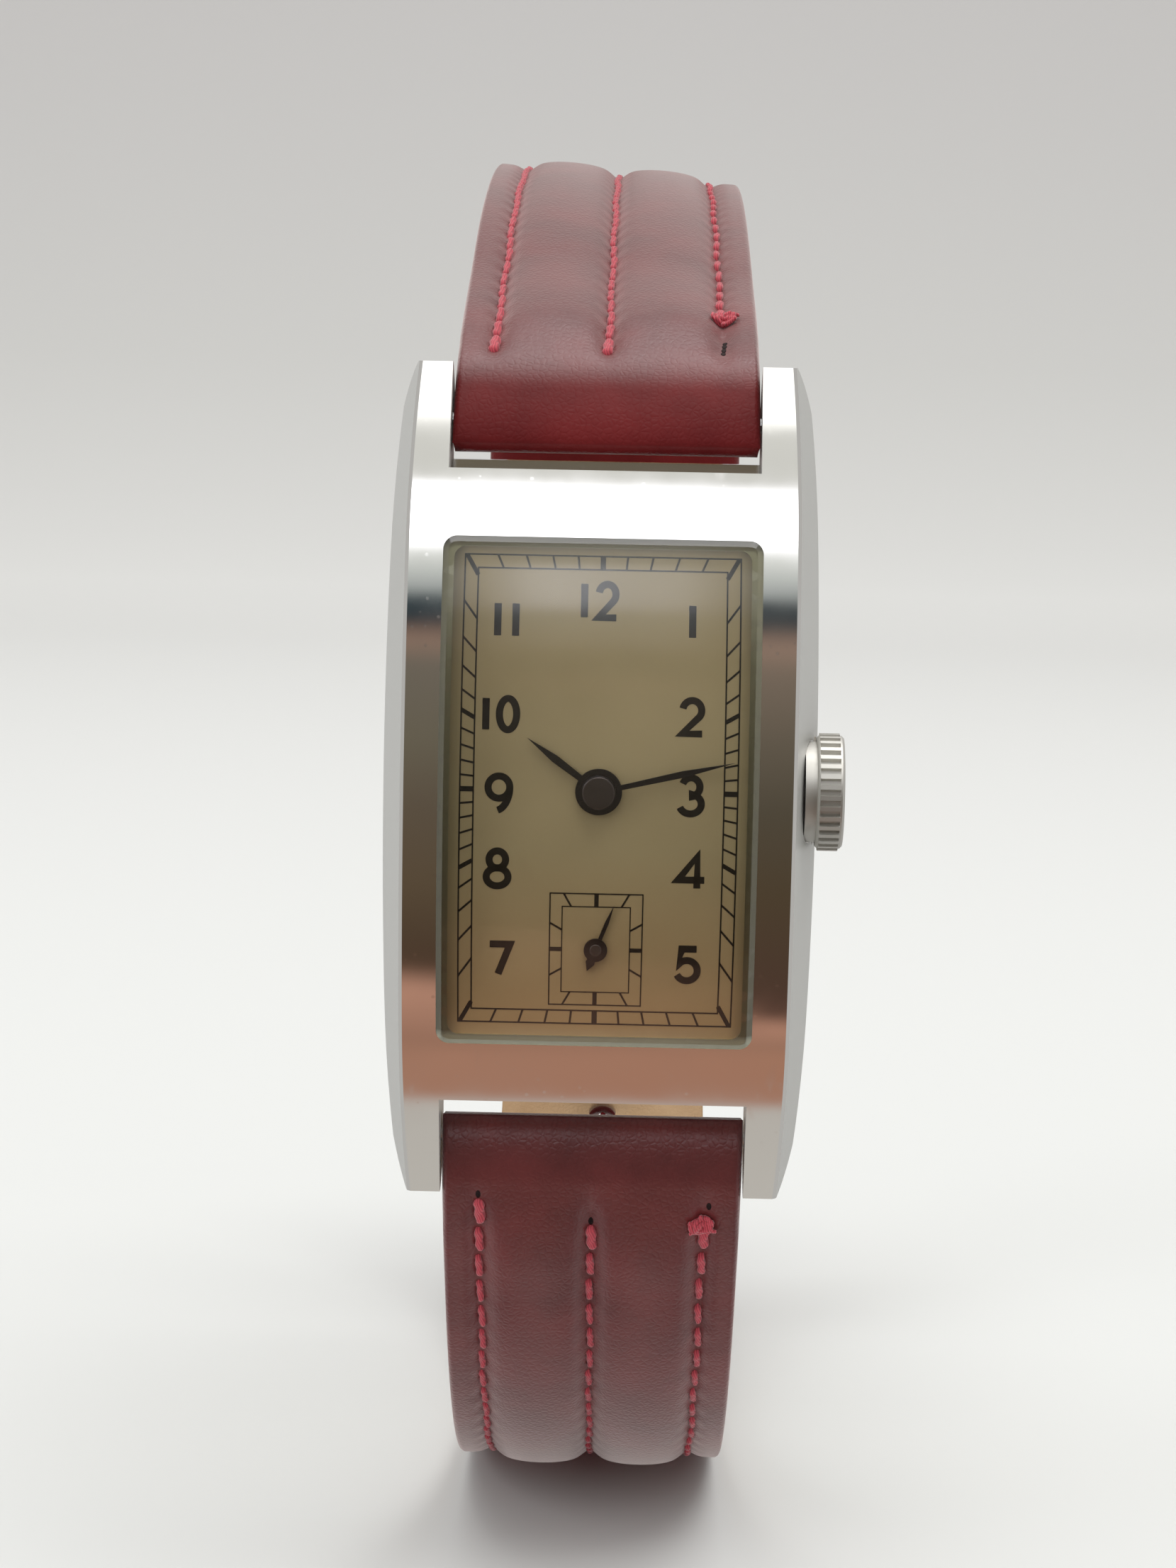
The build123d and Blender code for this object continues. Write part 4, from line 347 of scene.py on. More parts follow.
def wear_group():
    """Fine wear of polished metal: haze, hairline scratches and dust specks as roughness and height."""
    group, inside, outside = new_group("metal_wear", ["Base Roughness", "Amount"], ["Roughness", "Height"])
    vector, amount = inside["Vector"], inside["Amount"]
    slant = place(group, "ShaderNodeMapping", _Vector=vector, _Scale=(900, 900, 90), _Rotation=(0.3, 0.2, 0.5))
    lines = spread(group, noise(group, slant.outputs["Vector"], 1.0), 0.66, 0.74)
    speck = place(group, "ShaderNodeTexVoronoi", _Vector=vector, _Scale=1400.0)
    dots = spread(group, speck.outputs["Distance"], 0.16, 0.1)
    marks = reckon(group, "MULTIPLY", reckon(group, "MAXIMUM", lines, dots), amount)
    hazed = reckon(group, "MULTIPLY_ADD", noise(group, vector, 350.0, 4.0), amount, inside["Base Roughness"])
    feed(group, outside, Roughness=reckon(group, "MULTIPLY_ADD", marks, 0.5, hazed), Height=marks)
    return group


def leather_group():
    """Leather grain: pebbles from cells and pores as height, and a slow dye cloud."""
    group, inside, outside = new_group("leather_grain", ["Pebble Scale"], ["Height", "Cloud"])
    vector, scale = inside["Vector"], inside["Pebble Scale"]
    cells = place(group, "ShaderNodeTexVoronoi", feature="DISTANCE_TO_EDGE", _Vector=vector, _Scale=scale)
    pebbles = spread(group, cells.outputs["Distance"], 0.0, 0.25)
    height = reckon(group, "ADD", pebbles, noise(group, vector, 2200.0, 4.0))
    feed(group, outside, Height=height, Cloud=noise(group, vector, 260.0, 3.0))
    return group


WEAR = wear_group()
GRAIN = leather_group()


def worn(tree, roughness, amount):
    """Roughness and height of worn metal."""
    node = place(tree, "ShaderNodeGroup", node_tree=WEAR, _Vector=object_coordinates(tree))
    feed(tree, node, Base_Roughness=roughness, Amount=amount)
    return node.outputs


# Materials


def steel_material(name, colour, roughness, amount, brush=None, brush_depth=0.0):
    """Steel with wear, and where asked a brushed grain along one axis."""
    material, tree, shader = new_material(name)
    wear = worn(tree, roughness, amount)
    feed(tree, shader, Metallic=1.0, Base_Color=(*colour, 1), Roughness=wear["Roughness"])
    if brush:
        bump(tree, shader, noise(tree, object_coordinates(tree, scale=brush), 1.0, 3.0), brush_depth, 0.00002)
    else:
        bump(tree, shader, wear["Height"], 0.25, 0.000004)
    return material


def seat_mask(tree, here):
    """1 inside the crystal's outline, a rectangle with round corners, and 0 outside it."""
    corner = CRYSTAL_CORNER * MM
    straight = (CRYSTAL_WIDTH / 2 * MM - corner, 0, CRYSTAL_LENGTH / 2 * MM - corner)
    steps = [
        ("SUBTRACT", (0, 0, CRYSTAL_Y * MM)), ("MULTIPLY", (1, 0, 1)), ("ABSOLUTE", (0, 0, 0)),
        ("SUBTRACT", straight), ("MAXIMUM", (0, 0, 0)),
    ]
    for operation, value in steps:
        here = place(tree, "ShaderNodeVectorMath", operation=operation, _0=here, _1=value).outputs[0]
    reach = place(tree, "ShaderNodeVectorMath", operation="LENGTH", _0=here).outputs["Value"]
    return reckon(tree, "LESS_THAN", reach, corner)


def case_material():
    """Polished front, satin flanks where it faces sideways, and a dull seat under the crystal, painted dark
    olive as shade with painted light along its lower edge.
    """
    material, tree, shader = new_material("case_steel")
    facing = place(tree, "ShaderNodeNewGeometry").outputs["Normal"]
    flank = spread(tree, reckon(tree, "ABSOLUTE", axes_of(tree, facing)["X"]), 0.8, 0.9)
    here = place(tree, "ShaderNodeTexCoord").outputs["Object"]
    seat = seat_mask(tree, here)
    wear = worn(tree, 0.03, 0.12)
    dull = reckon(tree, "MAXIMUM", flank, seat)
    rough = place(tree, "ShaderNodeMix", _Factor=dull, _A=wear["Roughness"], _B=0.36).outputs["Result"]
    metal = spread(tree, flank, 0.0, 1.0, 1.0, 0.2)
    steel = mix_colours(tree, flank, (0.80, 0.79, 0.77, 1), (0.58, 0.58, 0.56, 1))
    # Painted shade and light on the seat under the crystal: dark olive, lighter along its lower edge
    lit_low_edge = spread(tree, axes_of(tree, here)["Z"], -0.0124, -0.0127)
    seat_painted_light = ramp(tree, lit_low_edge, (0.0, (0.27, 0.26, 0.17)), (1.0, (0.85, 0.88, 0.72)))
    feed(tree, shader, Metallic=metal, Roughness=rough, Base_Color=mix_colours(tree, seat, steel, seat_painted_light))
    grain = noise(tree, object_coordinates(tree, scale=(4000, 4000, 260)), 1.0, 3.0)
    height = place(tree, "ShaderNodeMix", _Factor=flank, _A=wear["Height"], _B=grain).outputs["Result"]
    bump(tree, shader, height, 0.2, 0.000006)
    return material


def dial_material():
    """Champagne dial under lacquer: a fine grain, a cloud of age, long edges darkened as painted shade and a
    pinker lower part.
    """
    material, tree, shader = new_material("dial_champagne")
    vector = object_coordinates(tree)
    axes = axes_of(tree, vector)
    cloud = noise(tree, vector, 120.0, 5.0)
    champagne = ramp(tree, cloud, (0.3, (0.49, 0.40, 0.228)), (0.7, (0.575, 0.475, 0.282)))
    # Painted shade: the dial darkens towards its long edges
    rim = spread(tree, reckon(tree, "ABSOLUTE", axes["X"]), 0.0068, 0.0076, 0.0, 0.55)
    rim_shaded = mix_colours(tree, rim, champagne, (0.10, 0.09, 0.045, 1))
    lower = spread(tree, axes["Z"], -0.003, -0.012)
    warm = mix_colours(tree, lower, rim_shaded, (1.06, 0.83, 0.70, 1), "MULTIPLY")
    feed(tree, shader, Metallic=0.35, Roughness=0.5, Base_Color=warm)
    bump(tree, shader, noise(tree, vector, 9000.0), 0.15, 0.000004)
    return material


def print_material():
    """Black dial ink, dull and a little uneven."""
    material, tree, shader = new_material("dial_ink")
    cloud = noise(tree, object_coordinates(tree), 2600.0)
    ink = ramp(tree, cloud, (0.3, (0.003, 0.002, 0.002)), (0.75, (0.011, 0.008, 0.006)))
    feed(tree, shader, Roughness=0.55, Specular_IOR_Level=0.1, Base_Color=ink)
    return material


def crystal_material():
    """Clear acrylic that lets straight light through to the dial."""
    material, tree, shader = new_material("crystal_acrylic")
    feed(
        tree, shader, Base_Color=(0.97, 0.965, 0.93, 1), Roughness=0.0, IOR=1.49, Specular_IOR_Level=1.0,
        Transmission_Weight=1.0, Coat_Weight=0.7, Coat_Roughness=0.2,
    )
    bump(tree, shader, noise(tree, object_coordinates(tree), 900.0, 3.0), 0.05, 0.000003)
    shadow = place(tree, "ShaderNodeLightPath").outputs["Is Shadow Ray"]
    clear = place(tree, "ShaderNodeBsdfTransparent", _Color=(0.93, 0.92, 0.88, 1)).outputs["BSDF"]
    mix = place(tree, "ShaderNodeMixShader", _0=shadow, _1=shader.outputs["BSDF"], _2=clear)
    feed(tree, tree.nodes["Material Output"], Surface=mix.outputs["Shader"])
    return material


def fold_shade_share(tree, vector):
    """Painted shade mask: 0 at the upper half's fold by its spring bar, where sheen and gloss are turned down,
    and 1 elsewhere.
    """
    height = axes_of(tree, vector)["Z"]
    rise = spread(tree, height, FOLD_SHADE_START, FOLD_SHADE_END, interpolation_type="SMOOTHSTEP")
    return reckon(tree, "MAXIMUM", rise, reckon(tree, "LESS_THAN", height, 0.0))


def leather_material(name, dark, light, roughness, pebble, depth, sheen, outside=False):
    """Dyed leather with a fine grain and a soft sheen; on the strap's outside the sheen and gloss are turned
    down at the upper fold as painted shade.
    """
    material, tree, shader = new_material(name)
    vector = object_coordinates(tree)
    grain = place(tree, "ShaderNodeGroup", node_tree=GRAIN, _Vector=vector, _Pebble_Scale=pebble).outputs
    colour = ramp(tree, grain["Cloud"], (0.3, dark), (0.72, light))
    feed(
        tree, shader, Base_Color=colour, Roughness=roughness, Specular_IOR_Level=0.4, Sheen_Weight=sheen,
        Sheen_Roughness=0.38, Sheen_Tint=(1.0, 0.86, 0.84, 1),
    )
    if outside:
        # Painted shade: the fold loses its sheen and gloss by position
        share = fold_shade_share(tree, vector)
        feed(
            tree, shader, Specular_IOR_Level=spread(tree, share, 0.0, 1.0, 0.12, 0.8),
            Sheen_Weight=spread(tree, share, 0.0, 1.0, 0.03, sheen),
        )
    bump(tree, shader, grain["Height"], 0.35, depth)
    return material


def thread_material():
    """Red sewing thread with a twist."""
    material, tree, shader = new_material("thread_red")
    vector = object_coordinates(tree, turn=(0.6, 0.0, 0.4))
    twist = place(tree, "ShaderNodeTexWave", _Vector=vector, _Scale=2600.0, _Distortion=0.6).outputs["Fac"]
    colour = ramp(tree, twist, (0.0, (0.34, 0.018, 0.035)), (1.0, (0.60, 0.055, 0.085)))
    feed(tree, shader, Base_Color=colour, Roughness=0.7, Sheen_Weight=0.4)
    bump(tree, shader, twist, 0.4, 0.00003)
    return material


def jewel_material():
    """Synthetic ruby."""
    material, tree, shader = new_material("jewel_ruby")
    cloud = noise(tree, object_coordinates(tree), 3000.0)
    colour = ramp(tree, cloud, (0.3, (0.45, 0.01, 0.06)), (0.7, (0.62, 0.03, 0.12)))
    feed(tree, shader, Base_Color=colour, Roughness=0.08, Coat_Weight=0.6)
    return material


SLOT_FINISH = {
    "case_metal": steel_material("back_steel", (0.60, 0.60, 0.58), 0.28, 0.2, (4000, 4000, 260), 0.3),
    "dial": dial_material(),
    "crystal": crystal_material(),
    "plate": steel_material("gilt_plate", (0.74, 0.62, 0.40), 0.30, 0.15, (2600, 2600, 2600), 0.2),
    "wheel_brass": steel_material("gilt_wheel", (0.80, 0.58, 0.26), 0.22, 0.12),
    "steel": steel_material("polished_steel", (0.70, 0.70, 0.69), 0.10, 0.15),
    "blued_steel": steel_material("blued_steel", (0.028, 0.026, 0.036), 0.22, 0.15),
    "jewel": jewel_material(),
    "leather": leather_material(
        "leather_oxblood", (0.1, 0.007, 0.008), (0.15, 0.012, 0.013), 0.36, 3000, 0.00003, 0.8, outside=True
    ),
    "lining": leather_material(
        "leather_lining", (0.36, 0.22, 0.11), (0.48, 0.32, 0.18), 0.75, 3000, 0.00004, 0.15
    ),
    "buckle_steel": steel_material("buckle_steel", (0.74, 0.74, 0.73), 0.08, 0.18),
}
CASE_STEEL = case_material()
CROWN_STEEL = steel_material("crown_steel", (0.70, 0.685, 0.645), 0.42, 0.2)
# Painted reflection: the hub caps' steel gets a near-black colour standing in for the dark surroundings it
# reflects
HUB_PAINTED_DARK_STEEL = steel_material("hub_steel_painted_dark", (0.125, 0.108, 0.115), 0.22, 0.2)
DIAL_INK = print_material()
THREAD = thread_material()
# Painted shade: near-black leather standing in for the shade inside the needle holes
HOLE_SHADE = leather_material("hole_shadow", (0.01, 0.002, 0.002), (0.02, 0.004, 0.004), 0.8, 2600, 0.00002, 0)
slot_of = {part["node"]: part["material_slot"] for part in frame["record"]["subparts"]}
for node_name, node_object in nodes.items():
    dress(node_object, SLOT_FINISH[slot_of[node_name]])

# Case, crystal, crown and buckle
case = finished_copy("case_body", "case_shell", 20, CASE_STEEL)
lengthwise_normals(case, CREST_Z - FRONT_RADIUS, FRONT_RADIUS, SKIN)
lens = finished_copy("crystal", "crystal_lens", 30)
lengthwise_normals(lens, CRYSTAL_CREST_Z - CRYSTAL_RADIUS, CRYSTAL_RADIUS, SKIN, LENS_ALONG, LENS_ACROSS)
finished_copy("crown", "crown_knurled", 40, CROWN_STEEL)
finished_copy("case_back", "back_cover", 30)
for node_name in ("buckle_frame", "buckle_bar", "buckle_tongue"):
    finished_copy(node_name, node_name + "_finished", 30)


def disc_cap(name, y, low, high, radius, edge, body):
    """A polished round cap on the hands: a profile turned about its axis, its rounded rim at angles t being
    r = radius - edge + edge cos t and z = low + (high - low) sin t."""
    dome, sides, flat = 9, 64, 4
    t = np.linspace(0, np.pi / 2, dome)
    rim, middle = radius - edge + edge * np.cos(t), np.linspace(radius - edge, radius * 0.04, flat + 1)[1:]
    r = np.concatenate([[radius - edge * 0.1, radius], rim, middle])
    z = np.concatenate([[low - 0.02, low], low + (high - low) * np.sin(t), np.full(flat, high)])
    turn = np.linspace(0, 2 * np.pi, sides, endpoint=False)
    level = np.repeat(z[:, None], sides, axis=1)
    grid = np.stack([r[:, None] * np.cos(turn), y + r[:, None] * np.sin(turn), level], axis=-1)
    mesh_piece(name, grid, tube_faces(len(r), sides), body, "steel", HUB_PAINTED_DARK_STEEL)


disc_cap("hub_cap", 0, 5.82, 5.86, 0.82, 0.1, "minute_work")
disc_cap("seconds_hub_cap", SECONDS_Y, 5.3, 5.33, 0.3, 0.06, "seconds_work")

# Dial print


def print_piece(name, corners, rise):
    """Dial print from quads: every (N, 4, 2) outline is raised over the dial, 8 points and 6 faces each."""
    count = len(corners)
    ends = [np.concatenate([corners, np.full((count, 4, 1), z)], axis=2) for z in (DIAL_Z, DIAL_Z + rise)]
    base = np.array([[0, 3, 2, 1], [4, 5, 6, 7], [0, 1, 5, 4], [1, 2, 6, 5], [2, 3, 7, 6], [3, 0, 4, 7]])
    faces = (np.arange(count)[:, None, None] * 8 + base[None]).reshape(-1, 4).tolist()
    mesh_piece(name, np.concatenate(ends, axis=1), faces, "watch", "dial", DIAL_INK, smooth=False)


def strokes(starts, ends, widths):
    """Rectangles of the given widths along straight strokes from starts to ends."""
    widths = np.broadcast_to(widths, len(starts))
    run = unit(ends - starts)
    side = np.stack([-run[:, 1], run[:, 0]], axis=1) * widths[:, None] / 2
    return np.stack([starts - side, ends - side, ends + side, starts + side], axis=1)


def frame_strokes(half_x, half_y, centre, width):
    """Four strokes round a rectangle, each long enough to square its corners."""
    ring = np.array([[-half_x, -half_y], [half_x, -half_y], [half_x, half_y], [-half_x, half_y]]) + centre
    ends = np.roll(ring, -1, axis=0)
    along = unit(ends - ring) * width / 2
    return strokes(ring - along, ends + along, width)


def ring_ticks(half_out, half_in, centre, angles, widths):
    """Radial ticks between two rectangles: along d the reach is the least of half / |d| on each axis."""
    turn = np.radians(angles)
    direction = np.stack([np.sin(turn), np.cos(turn)], axis=1)
    safe = np.maximum(np.abs(direction), 1e-9)
    inner = (np.array(half_in) / safe).min(axis=1)
    outer = (np.array(half_out) / safe).min(axis=1)
    return strokes(centre + direction * inner[:, None], centre + direction * outer[:, None], widths)


track_out = np.array([TRACK_WIDTH / 2, TRACK_LENGTH / 2])
track_in = track_out - TRACK_BAND
minute_widths = np.where(np.arange(60) % 5 == 0, 0.22, 0.105)
minute_widths[[0, 15, 30, 45]] = 0.27
dial_centre, seconds_centre = np.zeros(2), np.array([0.0, SECONDS_Y])
second_widths = np.where(np.arange(12) % 3 == 0, 0.22, 0.1)
print_piece("dial_tracks", np.concatenate([
    frame_strokes(*track_out, dial_centre, 0.08),
    frame_strokes(*track_in, dial_centre, 0.08),
    ring_ticks(track_out, track_in, dial_centre, np.arange(60) * 6.0, minute_widths),
    frame_strokes(*SECONDS_OUT, seconds_centre, 0.07),
    frame_strokes(*SECONDS_IN, seconds_centre, 0.06),
    ring_ticks(SECONDS_OUT, SECONDS_IN, seconds_centre, np.arange(12) * 30.0, second_widths),
]), PRINT_RISE)


def curve(cx, cy, rx, ry, first, last, steps=18):
    """Points of an elliptical arc from one angle to another, in degrees."""
    turn = np.radians(np.linspace(first, last, steps))
    return np.stack([cx + rx * np.cos(turn), cy + ry * np.sin(turn)], axis=1)


# Numerals as centre lines in a cell one high and one wide
DIGITS = {
    "0": [curve(0.5, 0.5, 0.5, 0.5, 90, 450, 36)],
    "1": [np.array([[0.06, 0.84], [0.5, 1.0]]), np.array([[0.5, 0.0], [0.5, 1.0]])],
    "2": [np.concatenate([curve(0.5, 0.70, 0.46, 0.30, 170, -38), [[0.03, 0.0], [1.0, 0.0]]])],
    "3": [np.concatenate([curve(0.48, 0.745, 0.40, 0.255, 160, -80), curve(0.46, 0.27, 0.50, 0.27, 80, -160)])],
    "4": [np.array([[1.0, 0.26], [0.0, 0.26], [0.72, 1.0], [0.72, 0.0]])],
    "5": [np.concatenate([[[0.9, 1.0], [0.2, 1.0], [0.1, 0.52]], curve(0.46, 0.32, 0.50, 0.32, 125, -155)])],
    "7": [np.array([[0.0, 1.0], [1.0, 1.0], [0.42, 0.0]])],
    "8": [curve(0.5, 0.755, 0.38, 0.245, 90, 450, 30), curve(0.5, 0.26, 0.5, 0.26, 90, 450, 30)],
    "9": [
        curve(0.5, 0.68, 0.48, 0.32, 0, 360, 30),
        curve(0.32, 0.68, 0.66, 0.68, 0, -78, 14),
    ],
}
# Each numeral: digits, middle x and y, width and height of the ink
NUMERALS = [
    ("12", -0.11, 9.69, 2.0, 2.06), ("11", -4.89, 8.65, 1.1, 2.0), ("1", 4.56, 8.72, 0.42, 1.98),
    ("10", -4.97, 3.84, 1.92, 1.95), ("2", 4.61, 3.88, 1.39, 2.05), ("9", -5.01, -0.2, 1.5, 2.13),
    ("3", 4.65, -0.12, 1.47, 2.2), ("8", -5.03, -4.03, 1.46, 2.15), ("4", 4.74, -4.02, 1.69, 2.0),
    ("7", -4.85, -8.68, 1.39, 1.9), ("5", 4.69, -8.78, 1.44, 2.0),
]


def ribbon(line, width):
    """Quads along a bent centre line, mitred at its bends so that the stroke keeps its width."""
    run = unit(np.diff(line, axis=0))
    normal = np.stack([-run[:, 1], run[:, 0]], axis=1)
    closed = np.allclose(line[0], line[-1])
    before = np.vstack([normal[-1] if closed else normal[0], normal])
    after = np.vstack([normal, normal[0] if closed else normal[-1]])
    middle = unit(before + after)
    reach = width / 2 / np.maximum((middle * after).sum(axis=1), 0.45)
    left, right = line + middle * reach[:, None], line - middle * reach[:, None]
    return np.stack([right[:-1], right[1:], left[1:], left[:-1]], axis=1)


def numeral_quads(text, x, y, width, height, ink):
    """The quads of one numeral: its digits share the width, a 1 taking less, with a gap between them."""
    shares = np.array([0.32 if digit == "1" else 1.0 for digit in text])
    gap = 1.2 if text == "11" else 0.24
    cell = width / (shares.sum() + gap * (len(text) - 1))
    left, foot = x - width / 2 + ink / 2, y - height / 2 + ink / 2
    quads = []
    for digit, share in zip(text, shares):
        wide = share * cell
        span = max(wide - ink, 0.02)
        for line in DIGITS[digit]:
            placed = np.stack([left + line[:, 0] * span, foot + line[:, 1] * (height - ink)], axis=1)
            quads.append(ribbon(placed, ink))
        left += wide + gap * cell
    return np.concatenate(quads)


numerals = np.concatenate([numeral_quads(*numeral, INK) for numeral in NUMERALS])
print_piece("dial_numerals", numerals, PRINT_RISE * 1.5)

# Strap


def straight_share(value, start, end):
    """Plain share of the way from start to end."""
    return np.clip((value - start) / (end - start), 0, 1)


def ease(value, start, end):
    """Smooth share of the way from start to end: 3 t^2 - 2 t^3 of the clipped t."""
    t = straight_share(value, start, end)
    return t * t * (3 - 2 * t)


def path_frame(s, strap):
    """Middle line of a strap half at lengths s: two arcs and a straight; returns y, z and heading in radians.

    Along an arc of radius R from heading a to b, y grows by R (sin b - sin a) and z by R (cos b - cos a)."""
    start, first, horizon, second, limit = strap.path
    a, h, last = math.radians(start), math.radians(horizon), math.radians(limit)
    first_length = first * (h - a)
    one = a + np.minimum(s, first_length) / first
    two = np.clip(h + (s - first_length) / second, h, last)
    rest = np.maximum(0, s - first_length - second * (last - h))
    y = first * (np.sin(one) - math.sin(a)) + second * (np.sin(two) - math.sin(h)) + rest * math.cos(last)
    z = first * (np.cos(one) - math.cos(a)) + second * (np.cos(two) - math.cos(h)) - rest * math.sin(last)
    return (BAR_Y + y) * strap.side, BAR_Z + z, np.where(s <= first_length, one, two)


def carried(x, v, s, strap):
    """Points of a section (x across, v away from the wrist) carried to length s along the path.

    The upper half leans: y falls by a share of x, grown in after the bar and let out before the buckle."""
    y, z, heading = path_frame(s, strap)
    if strap is UPPER:
        y = y - LEAN * x * ease(s, 2.0, 26.0) * (1 - ease(s, 44.0, 62.0))
    return np.stack([x, y + strap.side * v * np.sin(heading), z + v * np.cos(heading)], axis=-1)


def half_width(s, strap):
    """Half width along the strap: a straight taper, and a rounded point on the long half."""
    wide = STRAP_WIDTH + (BUCKLE_WIDTH - STRAP_WIDTH) * straight_share(s, 0, UPPER_LENGTH)
    if strap.pointed:
        t = straight_share(s, strap.length - POINT_LENGTH, strap.length)
        kept = POINT_ROUND * np.sqrt(np.maximum(0, 1 - t * t)) + POINT_TAPER * (1 - t)
        wide = wide + (POINT_WIDTH - wide) * (1 - kept)
    return wide / 2


def leather_top(x, s, strap):
    """Height of the padded outside over the strap's middle line.

    A flange level with a round shoulder high (1 - t^1.7)^(1/1.3) over the spring bar that eases down again,
    plus two ribs rise (1 - |2a - 1|^2.2) for a from the middle stitch to the outer one, less a groove
    exp(-(d / 0.55)^2) along each of the three stitch lines."""
    along = straight_share(s, 0, strap.length)
    high = strap.shoulder
    t = 1 - straight_share(s, -strap.nose, strap.roll)
    shoulder = high * (np.maximum(0, 1 - t**1.7) ** (1 / 1.3) - 1)
    level = 1.0 - 0.6 * along + (high - 1.0) * (1 - ease(s, strap.roll, strap.settled)) + shoulder
    flat_end = strap.length - (POINT_LENGTH if strap.pointed else 9.2)
    full = ease(s, 2.0, 7.5) * (1 - ease(s, flat_end, strap.length - 0.5))
    edge = half_width(s, strap) * LINE_SHARE
    a = np.clip(np.abs(x) / edge, 0, 1)
    rib = (RIB_RISE - RIB_FALL * along) * full * (1 - np.abs(2 * a - 1) ** 2.2)
    sewn = ease(s, 1.8, 4.8) * (1 - ease(s, strap.length - 9.0, strap.length - 8.0))
    pucker = 0.88 + 0.12 * np.cos(2 * np.pi * s / STITCH_PITCH)
    lines = np.exp(-(((np.abs(x) - edge) / GROOVE_HALF) ** 2)) + np.exp(-((x / GROOVE_HALF) ** 2))
    return level + rib - GROOVE_DEPTH * sewn * pucker * lines


def section_piece(name, x, v, s, strap, slot, replaced):
    """A piece of closed rings, one for each length s, that stands for a CAD node."""
    grid = carried(x, v, np.repeat(s[:, None], x.shape[1], axis=1), strap)
    piece = mesh_piece(name, grid, tube_faces(*x.shape), strap.body, slot)
    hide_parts(replaced)
    return piece


def leather_half(name, strap, replaced):
    """Padded leather of one half: closed rings of the section carried along the path, rounded at both ends."""
    length = strap.length
    nose = np.sin(np.linspace(np.pi / 2, 0, 30, endpoint=False))
    tail = np.sin(np.linspace(0, np.pi / 2, 9))[1:]
    s_start = strap.roll - (strap.nose + strap.roll) * nose
    s_middle = np.linspace(strap.roll, length, int(length / 0.28))
    s_end = length + (0.35 if strap.pointed else BUCKLE_LOOP_R) * tail
    s = np.concatenate([s_start, s_middle, s_end])
    full_rings = np.ones(len(s_start) + len(s_middle))
    shrink = np.maximum(np.concatenate([full_rings, np.sqrt(np.maximum(0, 1 - tail**2))]), 0.02)
    shrink_low = np.where(s < 0, np.sqrt(np.maximum(4e-4, 1 - (s / strap.nose) ** 2)), 1.0)
    across_top = signed_power(np.sin(np.linspace(-np.pi / 2, np.pi / 2, 97)), 1.15)
    across_low = np.linspace(1, -1, 25)
    inside = np.clip(s, 0, length)
    wide = half_width(inside, strap)
    base = LEATHER_BASE + (-LOOP_R + LOOP_GAP - LEATHER_BASE) * (1 - ease(inside, LOOP_END, LINING_START))
    x_top = wide[:, None] * across_top[None]
    top = leather_top(x_top, np.minimum(s, length)[:, None], strap)
    if not strap.pointed:
        looped = ease(inside, length - LINING_START, length - LOOP_END)
        base = base + (-BUCKLE_LOOP_R + LOOP_GAP - LEATHER_BASE) * looped
        closing = ease(inside, length - 5.0, length - 2.0)[:, None]
        top = top * (1 - closing) + (BUCKLE_LOOP_R - LOOP_GAP) * closing
    base = base * shrink_low
    round_edge = np.clip((1 - np.abs(across_top)) * wide[:, None] / 0.3, 0, 1)
    top = base[:, None] + (top - base[:, None]) * (0.8 + 0.2 * np.sqrt(1 - (1 - round_edge) ** 2))
    x_low = wide[:, None] * across_low[None] * 0.985
    low = np.repeat(base[:, None], len(across_low), axis=1)
    x = np.concatenate([x_top, x_low], axis=1)
    v = np.concatenate([top, low], axis=1) * shrink[:, None]
    return section_piece(name, x, v, s, strap, "leather", replaced)


def lining_half(name, strap, replaced):
    """Thin lining under one half: rings of a flat section with a rounded rim."""
    last = strap.length if strap.pointed else strap.length - LINING_START
    s = np.linspace(LINING_START, last, int(strap.length / 0.5))
    turn = np.linspace(0, 2 * np.pi, 48, endpoint=False)
    x = half_width(s, strap)[:, None] * 0.995 * signed_power(np.cos(turn), 0.25)[None]
    middle, half = (LINING_BASE + LEATHER_BASE) / 2, (LEATHER_BASE - LINING_BASE) / 2
    v = middle + half * signed_power(np.sin(turn), 0.5)[None] + np.zeros_like(x)
    return section_piece(name, x, v, s, strap, "lining", replaced)


def cut(piece, cutter):
    """Cuts a closed shape out of a piece for good."""
    change = piece.modifiers.new("cut", "BOOLEAN")
    change.operation = "DIFFERENCE"
    change.solver = "EXACT"
    change.object = cutter
    view = bpy.context.evaluated_depsgraph_get()
    view.update()
    result = bpy.data.meshes.new_from_object(piece.evaluated_get(view))
    piece.modifiers.clear()
    piece.data = result
    bpy.data.objects.remove(cutter)
    result.shade_smooth()


def tongue_holes():
    """Round cutters in a row across the long half."""
    made = bpy.data.meshes.new("holes")
    work = bmesh.new()
    for index in range(HOLES):
        y, z, heading = path_frame(LOWER_LENGTH - HOLE_START - index * HOLE_PITCH, LOWER)
        middle, turn = world([0, y, z]), float(heading)
        x_axis, z_axis = np.array([1.0, 0.0, 0.0]), np.array([0.0, -math.cos(turn), -math.sin(turn)])
        rotation = Matrix(np.stack([x_axis, np.cross(z_axis, x_axis), z_axis], axis=1).tolist()).to_4x4()
        bmesh.ops.create_cone(
            work, cap_ends=True, segments=HOLE_SIDES, radius1=HOLE_R * MM, radius2=HOLE_R * MM, depth=8 * MM,
            matrix=Matrix.Translation(middle.tolist()) @ rotation,
        )
    work.to_mesh(made)
    work.free()
    return new_object("holes", made)


def box_cutter(first, second):
    """A box between two corners in row metres."""
    made = bpy.data.meshes.new("slot")
    work = bmesh.new()
    size, middle = np.abs(second - first), (first + second) / 2
    shape = Matrix.Translation(middle.tolist()) @ Matrix.Diagonal((*size.tolist(), 1))
    bmesh.ops.create_cube(work, size=1, matrix=shape)
    work.to_mesh(made)
    work.free()
    return new_object("slot", made)


